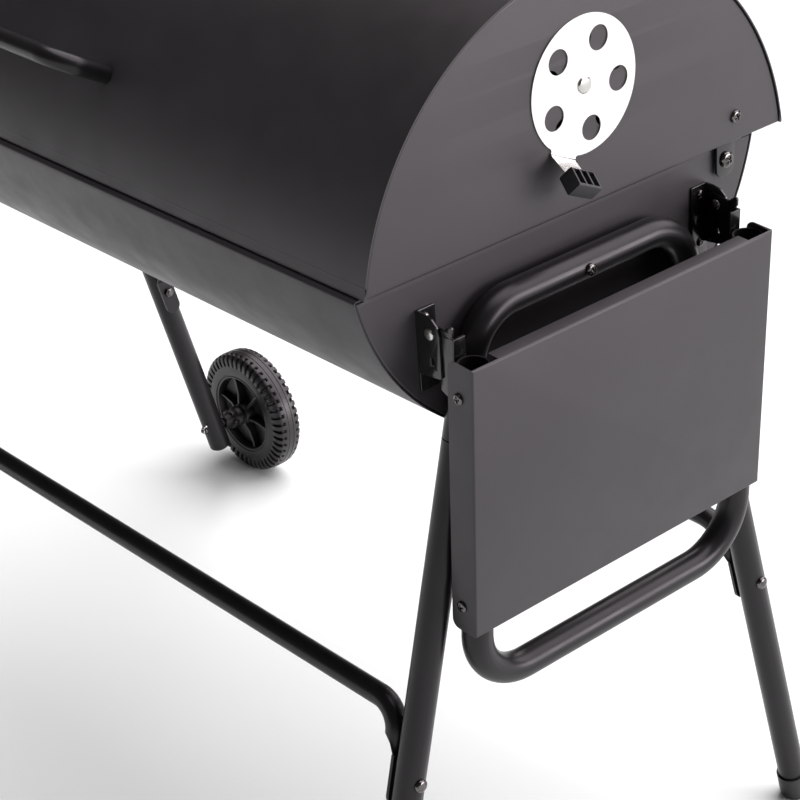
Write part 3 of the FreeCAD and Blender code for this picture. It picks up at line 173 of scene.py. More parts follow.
POWDER = finish_material("powder_coat", (0.026, 0.0235, 0.0255), (0.031, 0.0285, 0.0305), 0.45,
                         grain=1.0 * MM, depth=0.06 * MM, specular=0.45)
TUBE = finish_material("tube_coat", (0.0070, 0.0066, 0.0070), (0.0100, 0.0094, 0.0100), 0.32,
                       grain=1.0 * MM, depth=0.015 * MM, specular=0.3)
GLOSS = finish_material("gloss_enamel", (0.004, 0.004, 0.0042), (0.007, 0.0068, 0.007), 0.22,
                        depth=0.01 * MM, coat=0.3)
BLACKED = finish_material("blacked_screw", (0.07, 0.068, 0.066), (0.16, 0.15, 0.145), 0.17,
                          metallic=1.0, depth=0.01 * MM, patch=0.003)
ZINC = brushed_material("zinc_plate", (0.50, 0.50, 0.48), (0.66, 0.65, 0.62), 0.26, (1, 1, 1))
BRIGHT = brushed_material("bright_steel", (0.80, 0.79, 0.77), (0.88, 0.87, 0.85), 0.22,
                          (1, 1, 40))
WIRE = brushed_material("plated_wire", (0.42, 0.42, 0.40), (0.60, 0.59, 0.57), 0.3, (1, 30, 1))
GRATE = finish_material("grate_enamel", (0.02, 0.019, 0.018), (0.035, 0.032, 0.03), 0.42,
                        grain=1.5 * MM, depth=0.06 * MM)
MOULDED = finish_material("moulded_grip", (0.014, 0.014, 0.0148), (0.020, 0.020, 0.0212), 0.45,
                          grain=0.5 * MM, depth=0.03 * MM)
CAP = finish_material("moulded_cap", (0.008, 0.008, 0.008), (0.013, 0.0125, 0.0125), 0.42,
                      grain=0.7 * MM, depth=0.03 * MM)
TYRE = finish_material("moulded_wheel", (0.010, 0.0092, 0.0092), (0.015, 0.0135, 0.0135), 0.38,
                       grain=0.8 * MM, depth=0.05 * MM)

SLOT_MATERIAL = {
    "black_powder_coat": POWDER, "gloss_black_enamel": GLOSS, "black_fasteners": BLACKED,
    "zinc_steel": ZINC, "bright_steel": BRIGHT, "grip_plastic": MOULDED, "cap_plastic": CAP,
    "wheel_plastic": TYRE, "plated_wire": WIRE, "charcoal_grate_steel": GRATE,
}
TUBE_NODES = ("leg_hoop_right", "leg_hoop_left", "leg_front_right", "leg_rear_right",
              "leg_front_left", "leg_rear_left", "stretcher_front", "stretcher_rear",
              "shelf_handle", "lid_handle")


def paint(obj, mat):
    obj.data.materials.clear()
    obj.data.materials.append(mat)


def paint_cad_nodes():
    """Gives every CAD node the finish of its slot; tubes are a little smoother than sheet."""
    for name, obj in frame["nodes"].items():
        mat = TUBE if name in TUBE_NODES else SLOT_MATERIAL[NODE_SLOT[name]]
        paint(obj, mat)
        obj.data.shade_smooth()
        obj.data.set_sharp_from_angle(angle=math.radians(32))


# ------------------------------------------------------------------------ building blocks
def spot(x, y, z):
    """A point given in millimetres from the middle of the right end panel's outer face."""
    return Vector((RIGHT + x * MM, y * MM, AXIS_Z + z * MM))


def finish_piece(name, bm, *nodes, mat=None, sharp=35):
    """Turns a bmesh into a piece that stands for the named CAD nodes and moves with them."""
    bmesh.ops.remove_doubles(bm, verts=bm.verts, dist=0.002 * MM)
    mesh = bpy.data.meshes.new(name)
    bm.to_mesh(mesh)
    bm.free()
    mesh.shade_smooth()
    mesh.set_sharp_from_angle(angle=math.radians(sharp))
    obj = bpy.data.objects.new(name, mesh)
    bpy.context.scene.collection.objects.link(obj)
    slot = NODE_SLOT[nodes[0]]
    mesh.materials.append(mat or SLOT_MATERIAL[slot])
    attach(obj, NODE_BODY[nodes[0]])
    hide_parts(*nodes)
    return obj


def arc(centre, radius, start, end, steps):
    """Points on a circle from one angle to another, both in degrees."""
    points = []
    for i in range(steps + 1):
        angle = math.radians(start + (end - start) * i / steps)
        points.append((centre[0] + radius * math.cos(angle),
                       centre[1] + radius * math.sin(angle)))
    return points


def rounded(points, radius, steps=4):
    """The same outline with every corner rounded, by less where an edge is short."""
    result = []
    count = len(points)
    for i in range(count):
        corner = Vector(points[i])
        before = Vector(points[i - 1]) - corner
        after = Vector(points[(i + 1) % count]) - corner
        half = before.angle(after) / 2
        reach = min(radius / math.tan(half), 0.45 * before.length, 0.45 * after.length)
        start = corner + before.normalized() * reach
        end = corner + after.normalized() * reach
        for k in range(steps + 1):
            t = k / steps
            result.append(tuple(start * (1 - t) ** 2 + corner * 2 * t * (1 - t) + end * t ** 2))
    return result


def inset(points, distance):
    """A closed outline, listed anticlockwise, moved inwards by a distance."""
    result = []
    count = len(points)
    for i in range(count):
        here = Vector(points[i])
        a = (here - Vector(points[i - 1])).normalized()
        b = (Vector(points[(i + 1) % count]) - here).normalized()
        normal = Vector((-a.y - b.y, a.x + b.x))
        normal.normalize()
        stretch = max(0.3, normal.dot(Vector((-a.y, a.x))))
        result.append(tuple(here + normal * distance / stretch))
    return result


def thicken(bm, thickness):
    """Gives an open skin a thickness on the side away from its normals."""
    bm.normal_update()
    faces = list(bm.faces)
    rim = [edge for edge in bm.edges if edge.is_boundary]
    inner = {}
    for vert in list(bm.verts):
        inner[vert] = bm.verts.new(vert.co - vert.normal * thickness * vert.calc_shell_factor())
    for face in faces:
        bm.faces.new([inner[vert] for vert in reversed(face.verts)])
    for edge in rim:
        loop = edge.link_loops[0]
        a, b = loop.vert, loop.link_loop_next.vert
        bm.faces.new([b, a, inner[a], inner[b]])


def fill_flat(bm, outline, holes, to_point):
    """Fills a flat outline with holes; the verts come back in the outline's order."""
    loops = [outline] + holes
    flat = [[Vector((u, v, 0)) for u, v in loop] for loop in loops]
    verts = [bm.verts.new(to_point(u, v)) for loop in loops for u, v in loop]
    for tri in tessellate_polygon(flat):
        bm.faces.new([verts[i] for i in tri])
    return verts[:len(outline)]


def pressed_panel(outline, holes, to_point, bend, flange_of, thickness):
    """Sheet panel: a flat face, an edge bent back all round, and flanges on some edges.

    outline is anticlockwise seen from outside; to_point(u, v, back) gives the place of a
    point of the outline moved back behind the face; flange_of gives the free edge of the
    flange on an outline edge, as pairs of (share of the way along it, depth), or nothing.
    """
    bm = bmesh.new()
    steps = 4
    count = len(outline)
    ring = fill_flat(bm, inset(outline, bend), holes, lambda u, v: to_point(u, v, 0))
    for k in range(1, steps + 1):
        angle = math.pi / 2 * k / steps
        moved = inset(outline, bend * (1 - math.sin(angle)))
        back = bend * (1 - math.cos(angle))
        new = [bm.verts.new(to_point(u, v, back)) for u, v in moved]
        for i in range(count):
            j = (i + 1) % count
            bm.faces.new([ring[i], new[i], new[j], ring[j]])
        ring = new
    for i in range(count):
        j = (i + 1) % count
        a, b = Vector(outline[i]), Vector(outline[j])
        low = [bm.verts.new(to_point(*a.lerp(b, share), depth))
               for share, depth in flange_of(outline[i], outline[j])]
        if low:
            bm.faces.new([ring[i], *low, ring[j]])
    bmesh.ops.remove_doubles(bm, verts=bm.verts, dist=0.01 * MM)
    bmesh.ops.recalc_face_normals(bm, faces=bm.faces)
    face = max(bm.faces, key=lambda item: item.calc_area())
    outward = to_point(0, 0, 0) - to_point(0, 0, 1)
    if face.normal.dot(outward) < 0:
        bmesh.ops.reverse_faces(bm, faces=bm.faces)
    thicken(bm, thickness * MM)
    return bm


def curve_mesh(curve):
    """The mesh a curve makes, as a bmesh, with the curve removed."""
    obj = bpy.data.objects.new("shape", curve)
    mesh = bpy.data.meshes.new_from_object(obj)
    bm = bmesh.new()
    bm.from_mesh(mesh)
    bpy.data.objects.remove(obj)
    bpy.data.curves.remove(curve)
    bpy.data.meshes.remove(mesh)
    return bm


def add_spline(curve, points, cyclic):
    spline = curve.splines.new("POLY")
    spline.points.add(len(points) - 1)
    for item, point in zip(spline.points, points):
        item.co = (*point, 0, 1) if len(point) == 2 else (*point, 1)
    spline.use_cyclic_u = cyclic


def plate(outline, holes, thickness, matrix, bevel=0.35):
    """A flat plate in millimetres with its edges broken, centred on the matrix's XY plane."""
    curve = bpy.data.curves.new("plate", "CURVE")
    curve.dimensions = "2D"
    curve.fill_mode = "BOTH"
    curve.extrude = thickness / 2 - bevel
    curve.bevel_depth = bevel
    curve.bevel_resolution = 2
    curve.offset = -bevel
    for loop in [outline] + holes:
        add_spline(curve, loop, True)
    bm = curve_mesh(curve)
    bmesh.ops.remove_doubles(bm, verts=bm.verts, dist=0.001)
    bm.transform(matrix @ Matrix.Scale(MM, 4))
    return bm


def wire(points, radius, segments=10):
    """A round rod through points given in metres."""
    curve = bpy.data.curves.new("wire", "CURVE")
    curve.dimensions = "3D"
    curve.bevel_depth = radius
    curve.bevel_resolution = segments // 2
    curve.use_fill_caps = True
    add_spline(curve, [tuple(point) for point in points], False)
    return curve_mesh(curve)


def join(target, *others):
    """Adds other bmeshes to the first one."""
    for other in others:
        mesh = bpy.data.meshes.new("part")
        other.to_mesh(mesh)
        other.free()
        target.from_mesh(mesh)
        bpy.data.meshes.remove(mesh)
    return target


def axes(origin, along, up=Vector((0, 0, 1))):
    """A matrix whose Z is a direction and whose Y is as near as it can be to up."""
    z = Vector(along).normalized()
    if abs(z.dot(up)) > 0.99:
        up = Vector((0, 1, 0))
    x = up.cross(z).normalized()
    y = z.cross(x)
    matrix = Matrix((x, y, z)).transposed().to_4x4()
    return Matrix.Translation(origin) @ matrix


def lathe(profile, matrix, segments=48):
    """Turns a profile of (radius, height) pairs in millimetres about the matrix's Z."""
    bm = bmesh.new()
    rings = []
    for i in range(segments):
        angle = 2 * math.pi * i / segments
        rings.append([bm.verts.new((r * math.cos(angle), r * math.sin(angle), h))
                      for r, h in profile])
    for i in range(segments):
        here, there = rings[i], rings[(i + 1) % segments]
        for k in range(len(profile) - 1):
            bm.faces.new([here[k], there[k], there[k + 1], here[k + 1]])
    bmesh.ops.remove_doubles(bm, verts=bm.verts, dist=0.0005)
    bmesh.ops.recalc_face_normals(bm, faces=bm.faces)
    bm.transform(matrix @ Matrix.Scale(MM, 4))
    return bm


def dome(radius, height, matrix, edge=0.5):
    """A low domed head or rivet standing on the matrix's XY plane."""
    profile = [(0, height)]
    for k in range(1, 9):
        angle = math.pi / 2 * k / 8
        profile.append((radius * math.sin(angle), edge + (height - edge) * math.cos(angle)))
    profile += [(radius, 0), (0, 0)]
    return lathe(profile, matrix, 32)


def pan_head(radius, height, matrix, turn=0.4):
    """A pan head with a cross recess, on the matrix's XY plane."""
    rings, segments = 22, 48
    arm, width, depth = 0.56 * radius, 0.13 * radius, 0.55 * height
    bm = bmesh.new()
    rows = []
    for k in range(rings + 1):
        r = radius * math.sin(math.pi / 2 * k / rings)
        row = []
        for i in range(segments):
            angle = 2 * math.pi * i / segments
            x, y = r * math.cos(angle), r * math.sin(angle)
            top = height * (0.35 + 0.65 * math.sqrt(max(0.0, 1 - (r / radius) ** 3)))
            a = abs(x * math.cos(turn) + y * math.sin(turn))
            b = abs(y * math.cos(turn) - x * math.sin(turn))
            if min(a, b) < width and max(a, b) < arm:
                top -= depth * (1 - 0.5 * max(a, b) / arm)
            row.append(bm.verts.new((x, y, top)))
        rows.append(row)
    rows.append([bm.verts.new((vert.co.x, vert.co.y, 0)) for vert in rows[-1]])
    for low, high in zip(rows, rows[1:]):
        for i in range(segments):
            j = (i + 1) % segments
            bm.faces.new([low[i], high[i], high[j], low[j]])
    bmesh.ops.remove_doubles(bm, verts=bm.verts, dist=0.0005)
    bmesh.ops.contextual_create(bm, geom=[edge for edge in bm.edges if edge.is_boundary])
    bmesh.ops.recalc_face_normals(bm, faces=bm.faces)
    bm.transform(matrix @ Matrix.Scale(MM, 4))
    return bm


def hex_nut(width, height, matrix, crown=0.0):
    """A six-sided nut or head with its corners turned off, and a round crown above it."""
    outline = arc((0, 0), width / 2 / math.cos(math.pi / 6), 0, 300, 5)
    body = plate(outline, [], height, matrix @ Matrix.Translation((0, 0, height / 2 * MM)), 0.5)
    if crown:
        join(body, dome(width * 0.38, crown, matrix @ Matrix.Translation((0, 0, height * MM))))
    return body


# --------------------------------------------------------------------------- bowl and lid
BOWL_R = 220.0
LENGTH = (RIGHT - LEFT) / MM
RIM = -46.9
LID_R = 229.0
LID_CENTRE = (16.8, -79.6)
LID_EDGE = -46.6
SHEET = 1.2
LID_FACE = 5.8
PANEL_BEND = 2.4
PANEL_FLANGE = 12.0
RIM_HALF = math.sqrt(BOWL_R ** 2 - RIM ** 2)


def rolled_sheet(path, x_from, x_to):
    """Sheet of constant section along the barrel; path is the (y, z) of its outer skin."""
    bm = bmesh.new()
    ends = [[bm.verts.new(spot(x, y, z)) for y, z in path] for x in (x_from, x_to)]
    for i in range(len(path) - 1):
        bm.faces.new([ends[0][i], ends[0][i + 1], ends[1][i + 1], ends[1][i]])
    bmesh.ops.recalc_face_normals(bm, faces=bm.faces)
    bm.normal_update()
    middle = bm.faces[:][len(path) // 2]
    axis_point = spot((x_from + x_to) / 2, 0, -50)
    if middle.normal.dot(middle.calc_center_median() - axis_point) < 0:
        bmesh.ops.reverse_faces(bm, faces=bm.faces)
    thicken(bm, SHEET * MM)
    return bm


def bowl_sheet():
    """The bowl's sheet, its two edges folded over into level ledges."""
    fold = 3.0
    start = math.degrees(math.asin((RIM - fold) / BOWL_R))
    edge_y = math.sqrt(BOWL_R ** 2 - (RIM - fold) ** 2)
    right = arc((0, 0), BOWL_R, -180 - start, start, 160)
    path = [(-edge_y + 10.5, RIM)]
    path += arc((-edge_y + fold, RIM - fold), fold, 90, 175, 5)
    path += right[1:-1]
    path += arc((edge_y - fold, RIM - fold), fold, 5, 90, 5)
    path += [(edge_y - 10.5, RIM)]
    finish_piece("bowl_sheet", rolled_sheet(path, -LENGTH, 0), "bowl_shell")


def lid_sheet():
    """The lid's sheet, hemmed inwards along both lower edges."""
    hem = 1.3
    reach = LID_FACE + 1.0
    low = math.degrees(math.asin((LID_EDGE + hem - LID_CENTRE[1]) / LID_R))
    over = arc(LID_CENTRE, LID_R, 180 - low, low, 160)
    front_y, back_y = over[0][0], over[-1][0]
    edge = LID_EDGE + hem
    path = [(front_y + 2 * hem, edge + 9)]
    path += arc((front_y + hem, edge), hem, 0, -180, 6)
    path += over[1:-1]
    path += arc((back_y - hem, edge), hem, 0, -180, 6)
    path += [(back_y - 2 * hem, edge + 9)]
    finish_piece("lid_sheet", rolled_sheet(path, -LENGTH - reach, reach), "lid_shell")


def end_side(end):
    """Gives (place, outward direction) for something a distance outside an end face."""
    if end == "right":
        return spot, Vector((1, 0, 0))
    return lambda x, y, z: spot(-LENGTH - x, y, z), Vector((-1, 0, 0))


def end_point(end, face):
    """Turns panel coordinates into a place at either end of the barrel."""
    point = end_side(end)[0]
    return lambda u, v, back: point(face - back, u, v)


def even_flange(depth, applies):
    """Gives the flange of an outline edge: of even depth where it applies, else none."""
    return lambda a, b: [(0, depth), (1, depth)] if applies(a, b) else []


def bowl_panel(end):
    radius = BOWL_R - SHEET - 0.15
    shoulder = RIM - 2 * SHEET
    start = math.degrees(math.asin(shoulder / radius))
    outline = arc((0, 0), radius, -180 - start, start, 140)
    step = radius - 16
    outline += [(step, shoulder), (step, RIM + 2), (-step, RIM + 2), (-step, shoulder)]

    def on_arc(a, b):
        return min(math.hypot(*a), math.hypot(*b)) > radius - 1

    bm = pressed_panel(outline, [], end_point(end, 0), PANEL_BEND,
                       even_flange(PANEL_FLANGE, on_arc), SHEET)
    finish_piece("bowl_panel_" + end, bm, "bowl_end_" + end)


VENT_CENTRE = (16.4, 52.5)
VENT_COUNT = 5
VENT_PITCH = 36.6
VENT_R = 10.0
VENT_LEAD = 27.0
HOLE_LEAD = 36.0
DAMPER_TURN = 244.1
DAMPER_R = 55.0


def vent_holes(centre, first):
    """A ring of round holes about a point, the first one at an angle in degrees."""
    holes = []
    for i in range(VENT_COUNT):
        angle = math.radians(first + 360 / VENT_COUNT * i)
        middle = (centre[0] + VENT_PITCH * math.cos(angle),
                  centre[1] + VENT_PITCH * math.sin(angle))
        holes.append(arc(middle, VENT_R, 360, 9, 39))
    return holes


def lid_panel(end):
    radius = LID_R - SHEET - 0.15
    start = math.degrees(math.asin((LID_EDGE - LID_CENTRE[1]) / radius))
    outline = arc(LID_CENTRE, radius, start, 180 - start, 140)
    holes = []
    if end == "right":
        holes = vent_holes(VENT_CENTRE, DAMPER_TURN + HOLE_LEAD + VENT_LEAD)
    bm = pressed_panel(outline, holes, end_point(end, LID_FACE), PANEL_BEND,
                       even_flange(PANEL_FLANGE, lambda a, b: abs(a[0] - b[0]) < 100), SHEET)
    finish_piece("lid_panel_" + end, bm, "lid_end_" + end)


def end_matrix(end, x):
    """Puts a flat outline in (y, z) on a plane outside an end face."""
    point, outward = end_side(end)
    turn = Matrix(((0, 0, outward.x, 0), (1, 0, 0, 0), (0, 1, 0, 0), (0, 0, 0, 1)))
    return Matrix.Translation(point(x, 0, 0)) @ turn


HINGE = (177.5, -59.5)
LID_SCREW = (187.0, -24.9)


def straps():
    """The straps that carry the lid, with their bolts, washers and screws."""
    bolts, washers, screws = bmesh.new(), bmesh.new(), bmesh.new()
    left, right = HINGE[0] - 10.5, HINGE[0] + 10.5
    y, z = LID_SCREW
    outline = [(left, HINGE[1] - 10), (HINGE[0] - 6, HINGE[1] - 14.5),
               (HINGE[0] + 6, HINGE[1] - 14.5), (right, HINGE[1] - 10),
               (right, HINGE[1] + 12), (y + 11, z - 6), (y + 11, z + 10), (y + 7, z + 13),
               (y - 9, z + 13), (left, z + 9)]
    for end in ("right", "left"):
        bm = plate(rounded(outline, 4), [], 2.4, end_matrix(end, 3.2), 0.5)
        finish_piece("strap_" + end, bm, "lid_strap_" + end)
        point, outward = end_side(end)
        head = axes(point(4.5, *HINGE), outward)
        join(bolts, pan_head(7, 3.8, head, 0.9),
             lathe([(0, 0), (4, 0), (4, 10.5), (0, 10.5)],
                   axes(point(-5.9, *HINGE), outward)),
             hex_nut(12, 5, axes(point(-1.3, *HINGE), -outward)))
        join(washers, lathe([(4.1, 0), (7.7, 0), (8, 0.3), (8, 1.5), (7.7, 1.8), (4.1, 1.8),
                             (4.1, 0)], axes(point(0.1, *HINGE), outward)))
        join(screws, pan_head(5.5, 2.9, axes(point(LID_FACE + 0.05, y, z), outward)),
             lathe([(0, 0), (3, 0), (3, 6), (0, 6)], axes(point(1.2, y, z), outward)))
    finish_piece("hinge_bolt_heads", bolts, "hinge_bolts")
    finish_piece("hinge_washer_rings", washers, "hinge_washers")
    finish_piece("strap_screw_heads", screws, "lid_strap_screws")


# -------------------------------------------------------------------------------- damper
def damper_frame():
    """Z out of the disc, X from its middle along the neck."""
    angle = math.radians(DAMPER_TURN)
    along = Vector((0, math.cos(angle), math.sin(angle)))
    outward = Vector((1, 0, 0))
    across = outward.cross(along)
    matrix = Matrix((along, across, outward)).transposed().to_4x4()
    face = LID_FACE + 0.15
    return Matrix.Translation(spot(face, *VENT_CENTRE)) @ matrix


NECK_BEND = math.radians(54)
NECK_ROOT = 52.0
NECK_END = 22.0


def neck_point(along, across):
    """(distance from the middle, height) on the neck, measured along it and across it."""
    r = NECK_ROOT + along * math.cos(NECK_BEND) - across * math.sin(NECK_BEND)
    return r, 1.0 + along * math.sin(NECK_BEND) + across * math.cos(NECK_BEND)


def damper_plate():
    """The disc with its five holes, and the neck that bends out of it."""
    matrix = damper_frame()
    half = 14.0
    root = math.degrees(math.asin(half / DAMPER_R)) + 6
    outline = arc((0, 0), DAMPER_R, root, 360 - root, 120)
    outline += [(52.6, -half - 1.2), (NECK_ROOT + 2, -half), (NECK_ROOT + 2, half),
                (52.6, half + 1.2)]
    holes = vent_holes((0, 0), HOLE_LEAD)
    bm = bmesh.new()
    place = matrix @ Matrix.Scale(MM, 4)
    fill_flat(bm, outline, holes, lambda u, v: place @ Vector((u, v, 1)))
    rows = []
    bend_radius = 4.0
    steps = 5
    for k in range(steps + 1):
        angle = NECK_BEND * k / steps
        rows.append((NECK_ROOT + 2 + bend_radius * math.sin(angle),
                     1 + bend_radius * (1 - math.cos(angle)), half - 0.3 * k / steps))
    end_r, end_h = neck_point(NECK_END, 0)
    rows.append((end_r, end_h, 13))
    verts = [[bm.verts.new(place @ Vector((r, s * w, h))) for s in (-1, 1)] for r, h, w in rows]
    for a, b in zip(verts, verts[1:]):
        bm.faces.new([a[0], b[0], b[1], a[1]])
    bmesh.ops.remove_doubles(bm, verts=bm.verts, dist=0.01 * MM)
    bmesh.ops.recalc_face_normals(bm, faces=bm.faces)
    bm.normal_update()
    face = max(bm.faces, key=lambda item: item.calc_area())
    if face.normal.x < 0:
        bmesh.ops.reverse_faces(bm, faces=bm.faces)
    thicken(bm, 1.0 * MM)
    finish_piece("damper_plate", bm, "damper_disc", sharp=50)
    rivet = join(dome(6.8, 2.2, matrix @ Matrix.Translation((0, 0, 1.1 * MM))),
                 lathe([(0, 0), (4, 0), (4, 6), (0, 6)],
                       matrix @ Matrix.Translation((0, 0, -4.9 * MM))),
                 lathe([(0, 0), (6, 0), (6, 1.9), (0, 1.9)],
                       matrix @ Matrix.Translation((0, 0, -3.4 * MM))))
    finish_piece("damper_rivet_head", rivet, "damper_rivet")


def damper_knob():
    """Hollow moulded grip on the neck's end, open and ribbed on its lower side."""
    matrix = damper_frame()
    length, thickness, width = 17.0, 14.0, 26.0
    wall = 1.8
    start = NECK_END + 0.1
    half = thickness / 2
    section = rounded([(0, -half), (length, -half), (length, half), (0, half)], 1.5, 3)
    hollow = [(wall, -half + wall), (length - wall, -half + wall), (length - wall, half + 1),
              (wall, half + 1)]

    def prism(outline, low, high):
        bm = bmesh.new()
        ends = []
        for across in (low, high):
            ring = []
            for along, up in outline:
                r, h = neck_point(start + along, up)
                ring.append(bm.verts.new((r, across, h)))
            ends.append(ring)
        count = len(outline)
        for i in range(count):
            j = (i + 1) % count
            bm.faces.new([ends[0][i], ends[0][j], ends[1][j], ends[1][i]])
        bm.faces.new(ends[0])
        bm.faces.new(list(reversed(ends[1])))
        bmesh.ops.recalc_face_normals(bm, faces=bm.faces)
        bm.transform(matrix @ Matrix.Scale(MM, 4))
        return bm

    body = prism(section, -width / 2, width / 2)
    pockets = bmesh.new()
    cells = 3
    pitch = (width - wall) / cells
    for i in range(cells):
        low = -width / 2 + wall + i * pitch
        join(pockets, prism(hollow, low, low + pitch - wall))
    solid = finish_piece("damper_knob", body, "damper_grip")
    cutter_mesh = bpy.data.meshes.new("cutter")
    pockets.to_mesh(cutter_mesh)
    pockets.free()
    cutter = bpy.data.objects.new("cutter", cutter_mesh)
    bpy.context.scene.collection.objects.link(cutter)
    carve(solid, cutter)


def carve(solid, cutter):
    """Cuts one object out of another, keeps the result as its mesh and drops the cutter."""
    boolean = solid.modifiers.new("carve", "BOOLEAN")
    boolean.operation = "DIFFERENCE"
    boolean.object = cutter
    boolean.solver = "EXACT"
    bpy.context.view_layer.update()
    result = solid.evaluated_get(bpy.context.evaluated_depsgraph_get())
    carved = bpy.data.meshes.new_from_object(result)
    carved.shade_smooth()
    carved.set_sharp_from_angle(angle=math.radians(30))
    solid.modifiers.remove(boolean)
    solid.data = carved
    bpy.data.objects.remove(cutter)


# --------------------------------------------------------------------------------- wheels
LUGS = 48
WHEEL_R = 76.2
WHEEL_HALF = 17.0


def tread_profile():
    """Half of the wheel's section from the bore's edge to the middle of the tread.

    Each entry is (radius, distance from the wheel's middle plane, depth of the groove
    between lugs there).
    """
    return [(5.3, 18.0, 0), (12.3, 18.0, 0), (13.0, 17.2, 0), (13.4, 5.0, 0), (15.5, 4.0, 0),
            (42.0, 4.6, 0), (44.2, 5.6, 0), (45.2, 8.0, 0), (45.6, 15.6, 0), (46.4, 16.6, 0),
            (47.8, 16.6, 0), (48.6, 15.9, 0), (49.6, 15.9, 0), (50.4, 16.9, 0),
            (52.0, 17.0, 0), (58.0, 16.9, 0), (60.5, 16.6, 0), (61.5, 16.6, 0.4),
            (62.5, 17.0, 2.4), (66.0, 17.0, 3.6), (69.5, 16.6, 4.0), (72.6, 15.4, 4.0),
            (74.4, 13.4, 3.8), (75.0, 12.4, 0.7), (75.3, 11.6, 0.7), (75.6, 10.6, 3.0),
            (75.9, 8.2, 2.8), (76.0, 7.2, 0.3), (76.15, 6.4, 0), (76.2, 4.4, 0),
            (75.7, 3.9, 0), (75.7, 2.9, 0), (76.2, 2.4, 0), (76.2, 0.3, 0)]


def lug_gap(angle, phase):
    """How far into the gap between two lugs an angle lies, from 0 on a lug to 1."""
    t = (angle * LUGS / (2 * math.pi) + phase) % 1.0
    distance = min(t, 1 - t)
    return min(1.0, max(0.0, (0.22 - distance) / 0.1))


def wheel(side, sign):
    """Moulded wheel: lugged tread, plain sidewall, double lip, dished web, ribs and a hub."""
    node = "wheel_" + side
    low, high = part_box(node)
    middle = (low + high) / 2
    matrix = axes(middle, Vector((0, sign, 0)))
    half = tread_profile()
    profile = [(r, -t, d, -1) for r, t, d in half] + [(r, t, d, 1) for r, t, d in reversed(half)]
    steps = LUGS * 8
    bm = bmesh.new()
    rings = []
    count = len(profile)
    for i in range(steps):
        angle = 2 * math.pi * i / steps
        ring = []
        for k, (r, t, depth, half_side) in enumerate(profile):
            gap = depth * lug_gap(angle, 0.0 if half_side < 0 else 0.5)
            before, after = profile[k - 1], profile[(k + 1) % count]
            normal = Vector((after[1] - before[1], before[0] - after[0]))
            if normal.length > 0:
                normal.normalize()
            r_in, t_in = r - abs(normal.x) * gap, t - math.copysign(1, t) * abs(normal.y) * gap
            ring.append(bm.verts.new((r_in * math.cos(angle), r_in * math.sin(angle), t_in)))
        rings.append(ring)
    for i in range(steps):
        here, there = rings[i], rings[(i + 1) % steps]
        for k in range(count):
            n = (k + 1) % count
            bm.faces.new([here[k], there[k], there[n], here[n]])
    bmesh.ops.recalc_face_normals(bm, faces=bm.faces)
    bm.transform(matrix @ Matrix.Scale(MM, 4))
    for face in (-1, 1):
        for i in range(6):
            turn = Matrix.Rotation(math.radians(60 * i + 12), 4, "Z")
            outline = [(12, 3.5), (44.5, 3.5), (45.6, 13.4), (40, 12.6), (24, 13.6), (16, 16.4),
                       (12, 17.2)]
            stand = Matrix(((1, 0, 0, 0), (0, 0, 1, 0), (0, face, 0, 0), (0, 0, 0, 1)))
            rib = plate(rounded(outline, 1.5, 2), [], 3.6, matrix @ turn @ stand, 0.7)
            bmesh.ops.recalc_face_normals(rib, faces=rib.faces)
            join(bm, rib)
    for i in range(4):
        turn = Matrix.Rotation(math.radians(90 * i + 20), 4, "Z")
        outline = [(7.0, -3.6), (12.2, -3.6), (12.2, 3.6), (7.0, 3.6)]
        for face in (-1, 1):
            lift = Matrix.Translation((0, 0, face * 17.9 * MM))
            join(bm, plate(rounded(outline, 1.4, 2), [], 1.2, matrix @ turn @ lift, 0.5))
    finish_piece("moulded_wheel_" + side, bm, node, sharp=40)


def axle_pieces():
    """The pins, spacer tubes, washers and small spring clips of both wheels."""
    spacers, washers, clips = bmesh.new(), bmesh.new(), bmesh.new()
    wheel_x = (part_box("wheel_front")[0].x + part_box("wheel_front")[1].x) / 2
    for side, sign in (("front", -1), ("rear", 1)):
        def along(start):
            return axes(Vector((wheel_x, sign * start * MM, WHEEL_R * MM)), (0, sign, 0))

        pin = lathe([(0, 0), (1.6, 0), (2, 0.4), (2, 3.4), (4.4, 3.4), (5, 4), (5, 99),
                     (0, 99)], along(238.8))
        head = dome(10.8, 3.6, along(337.4), 1.2)
        finish_piece("axle_pin_" + side, join(pin, head), "axle_" + side, mat=BLACKED)
        join(spacers, lathe([(5.3, -1.8), (7.6, -1.8), (8.4, -1), (8.4, 12), (10.5, 14),
                             (12, 17), (12.4, 21.6), (11.6, 22.4), (5.3, 22.4), (5.3, -1.8)],
                            along(273.5)))
        for i in range(4):
            turn = Matrix.Rotation(math.radians(90 * i + 20), 4, "Z")
            jaw = rounded([(8.0, -4.2), (12.2, -4.2), (12.2, 4.2), (8.0, 4.2)], 1.4, 2)
            join(spacers, plate(jaw, [], 7.0, along(284.5) @ turn, 0.7))
        for start in (297.0, 335.4):
            join(washers, lathe([(5.3, 0), (11.4, 0), (11.9, 0.4), (11.9, 1.2), (11.4, 1.5),
                                 (5.3, 1.5), (5.3, 0)], along(start)))
        ring = []
        for k in range(27):
            angle = math.radians(53 + 345 * k / 26)
            ring.append(Vector((wheel_x + 3.0 * math.cos(angle) * MM, sign * 240.8 * MM,
                                (WHEEL_R + 3.0 * math.sin(angle)) * MM)))
        tail = Vector((0.6, 0, 0.8)) * MM
        ring.insert(0, ring[0] + tail * 5)
        ring.insert(0, ring[0] + tail * 5 + Vector((1.0, 0, -0.6)) * MM)
        join(clips, wire(ring, 0.85 * MM, 8))
    finish_piece("spacer_tubes", spacers, "axle_spacers")
    finish_piece("wheel_washers", washers, "axle_washers")
    finish_piece("spring_clips", clips, "axle_clips")


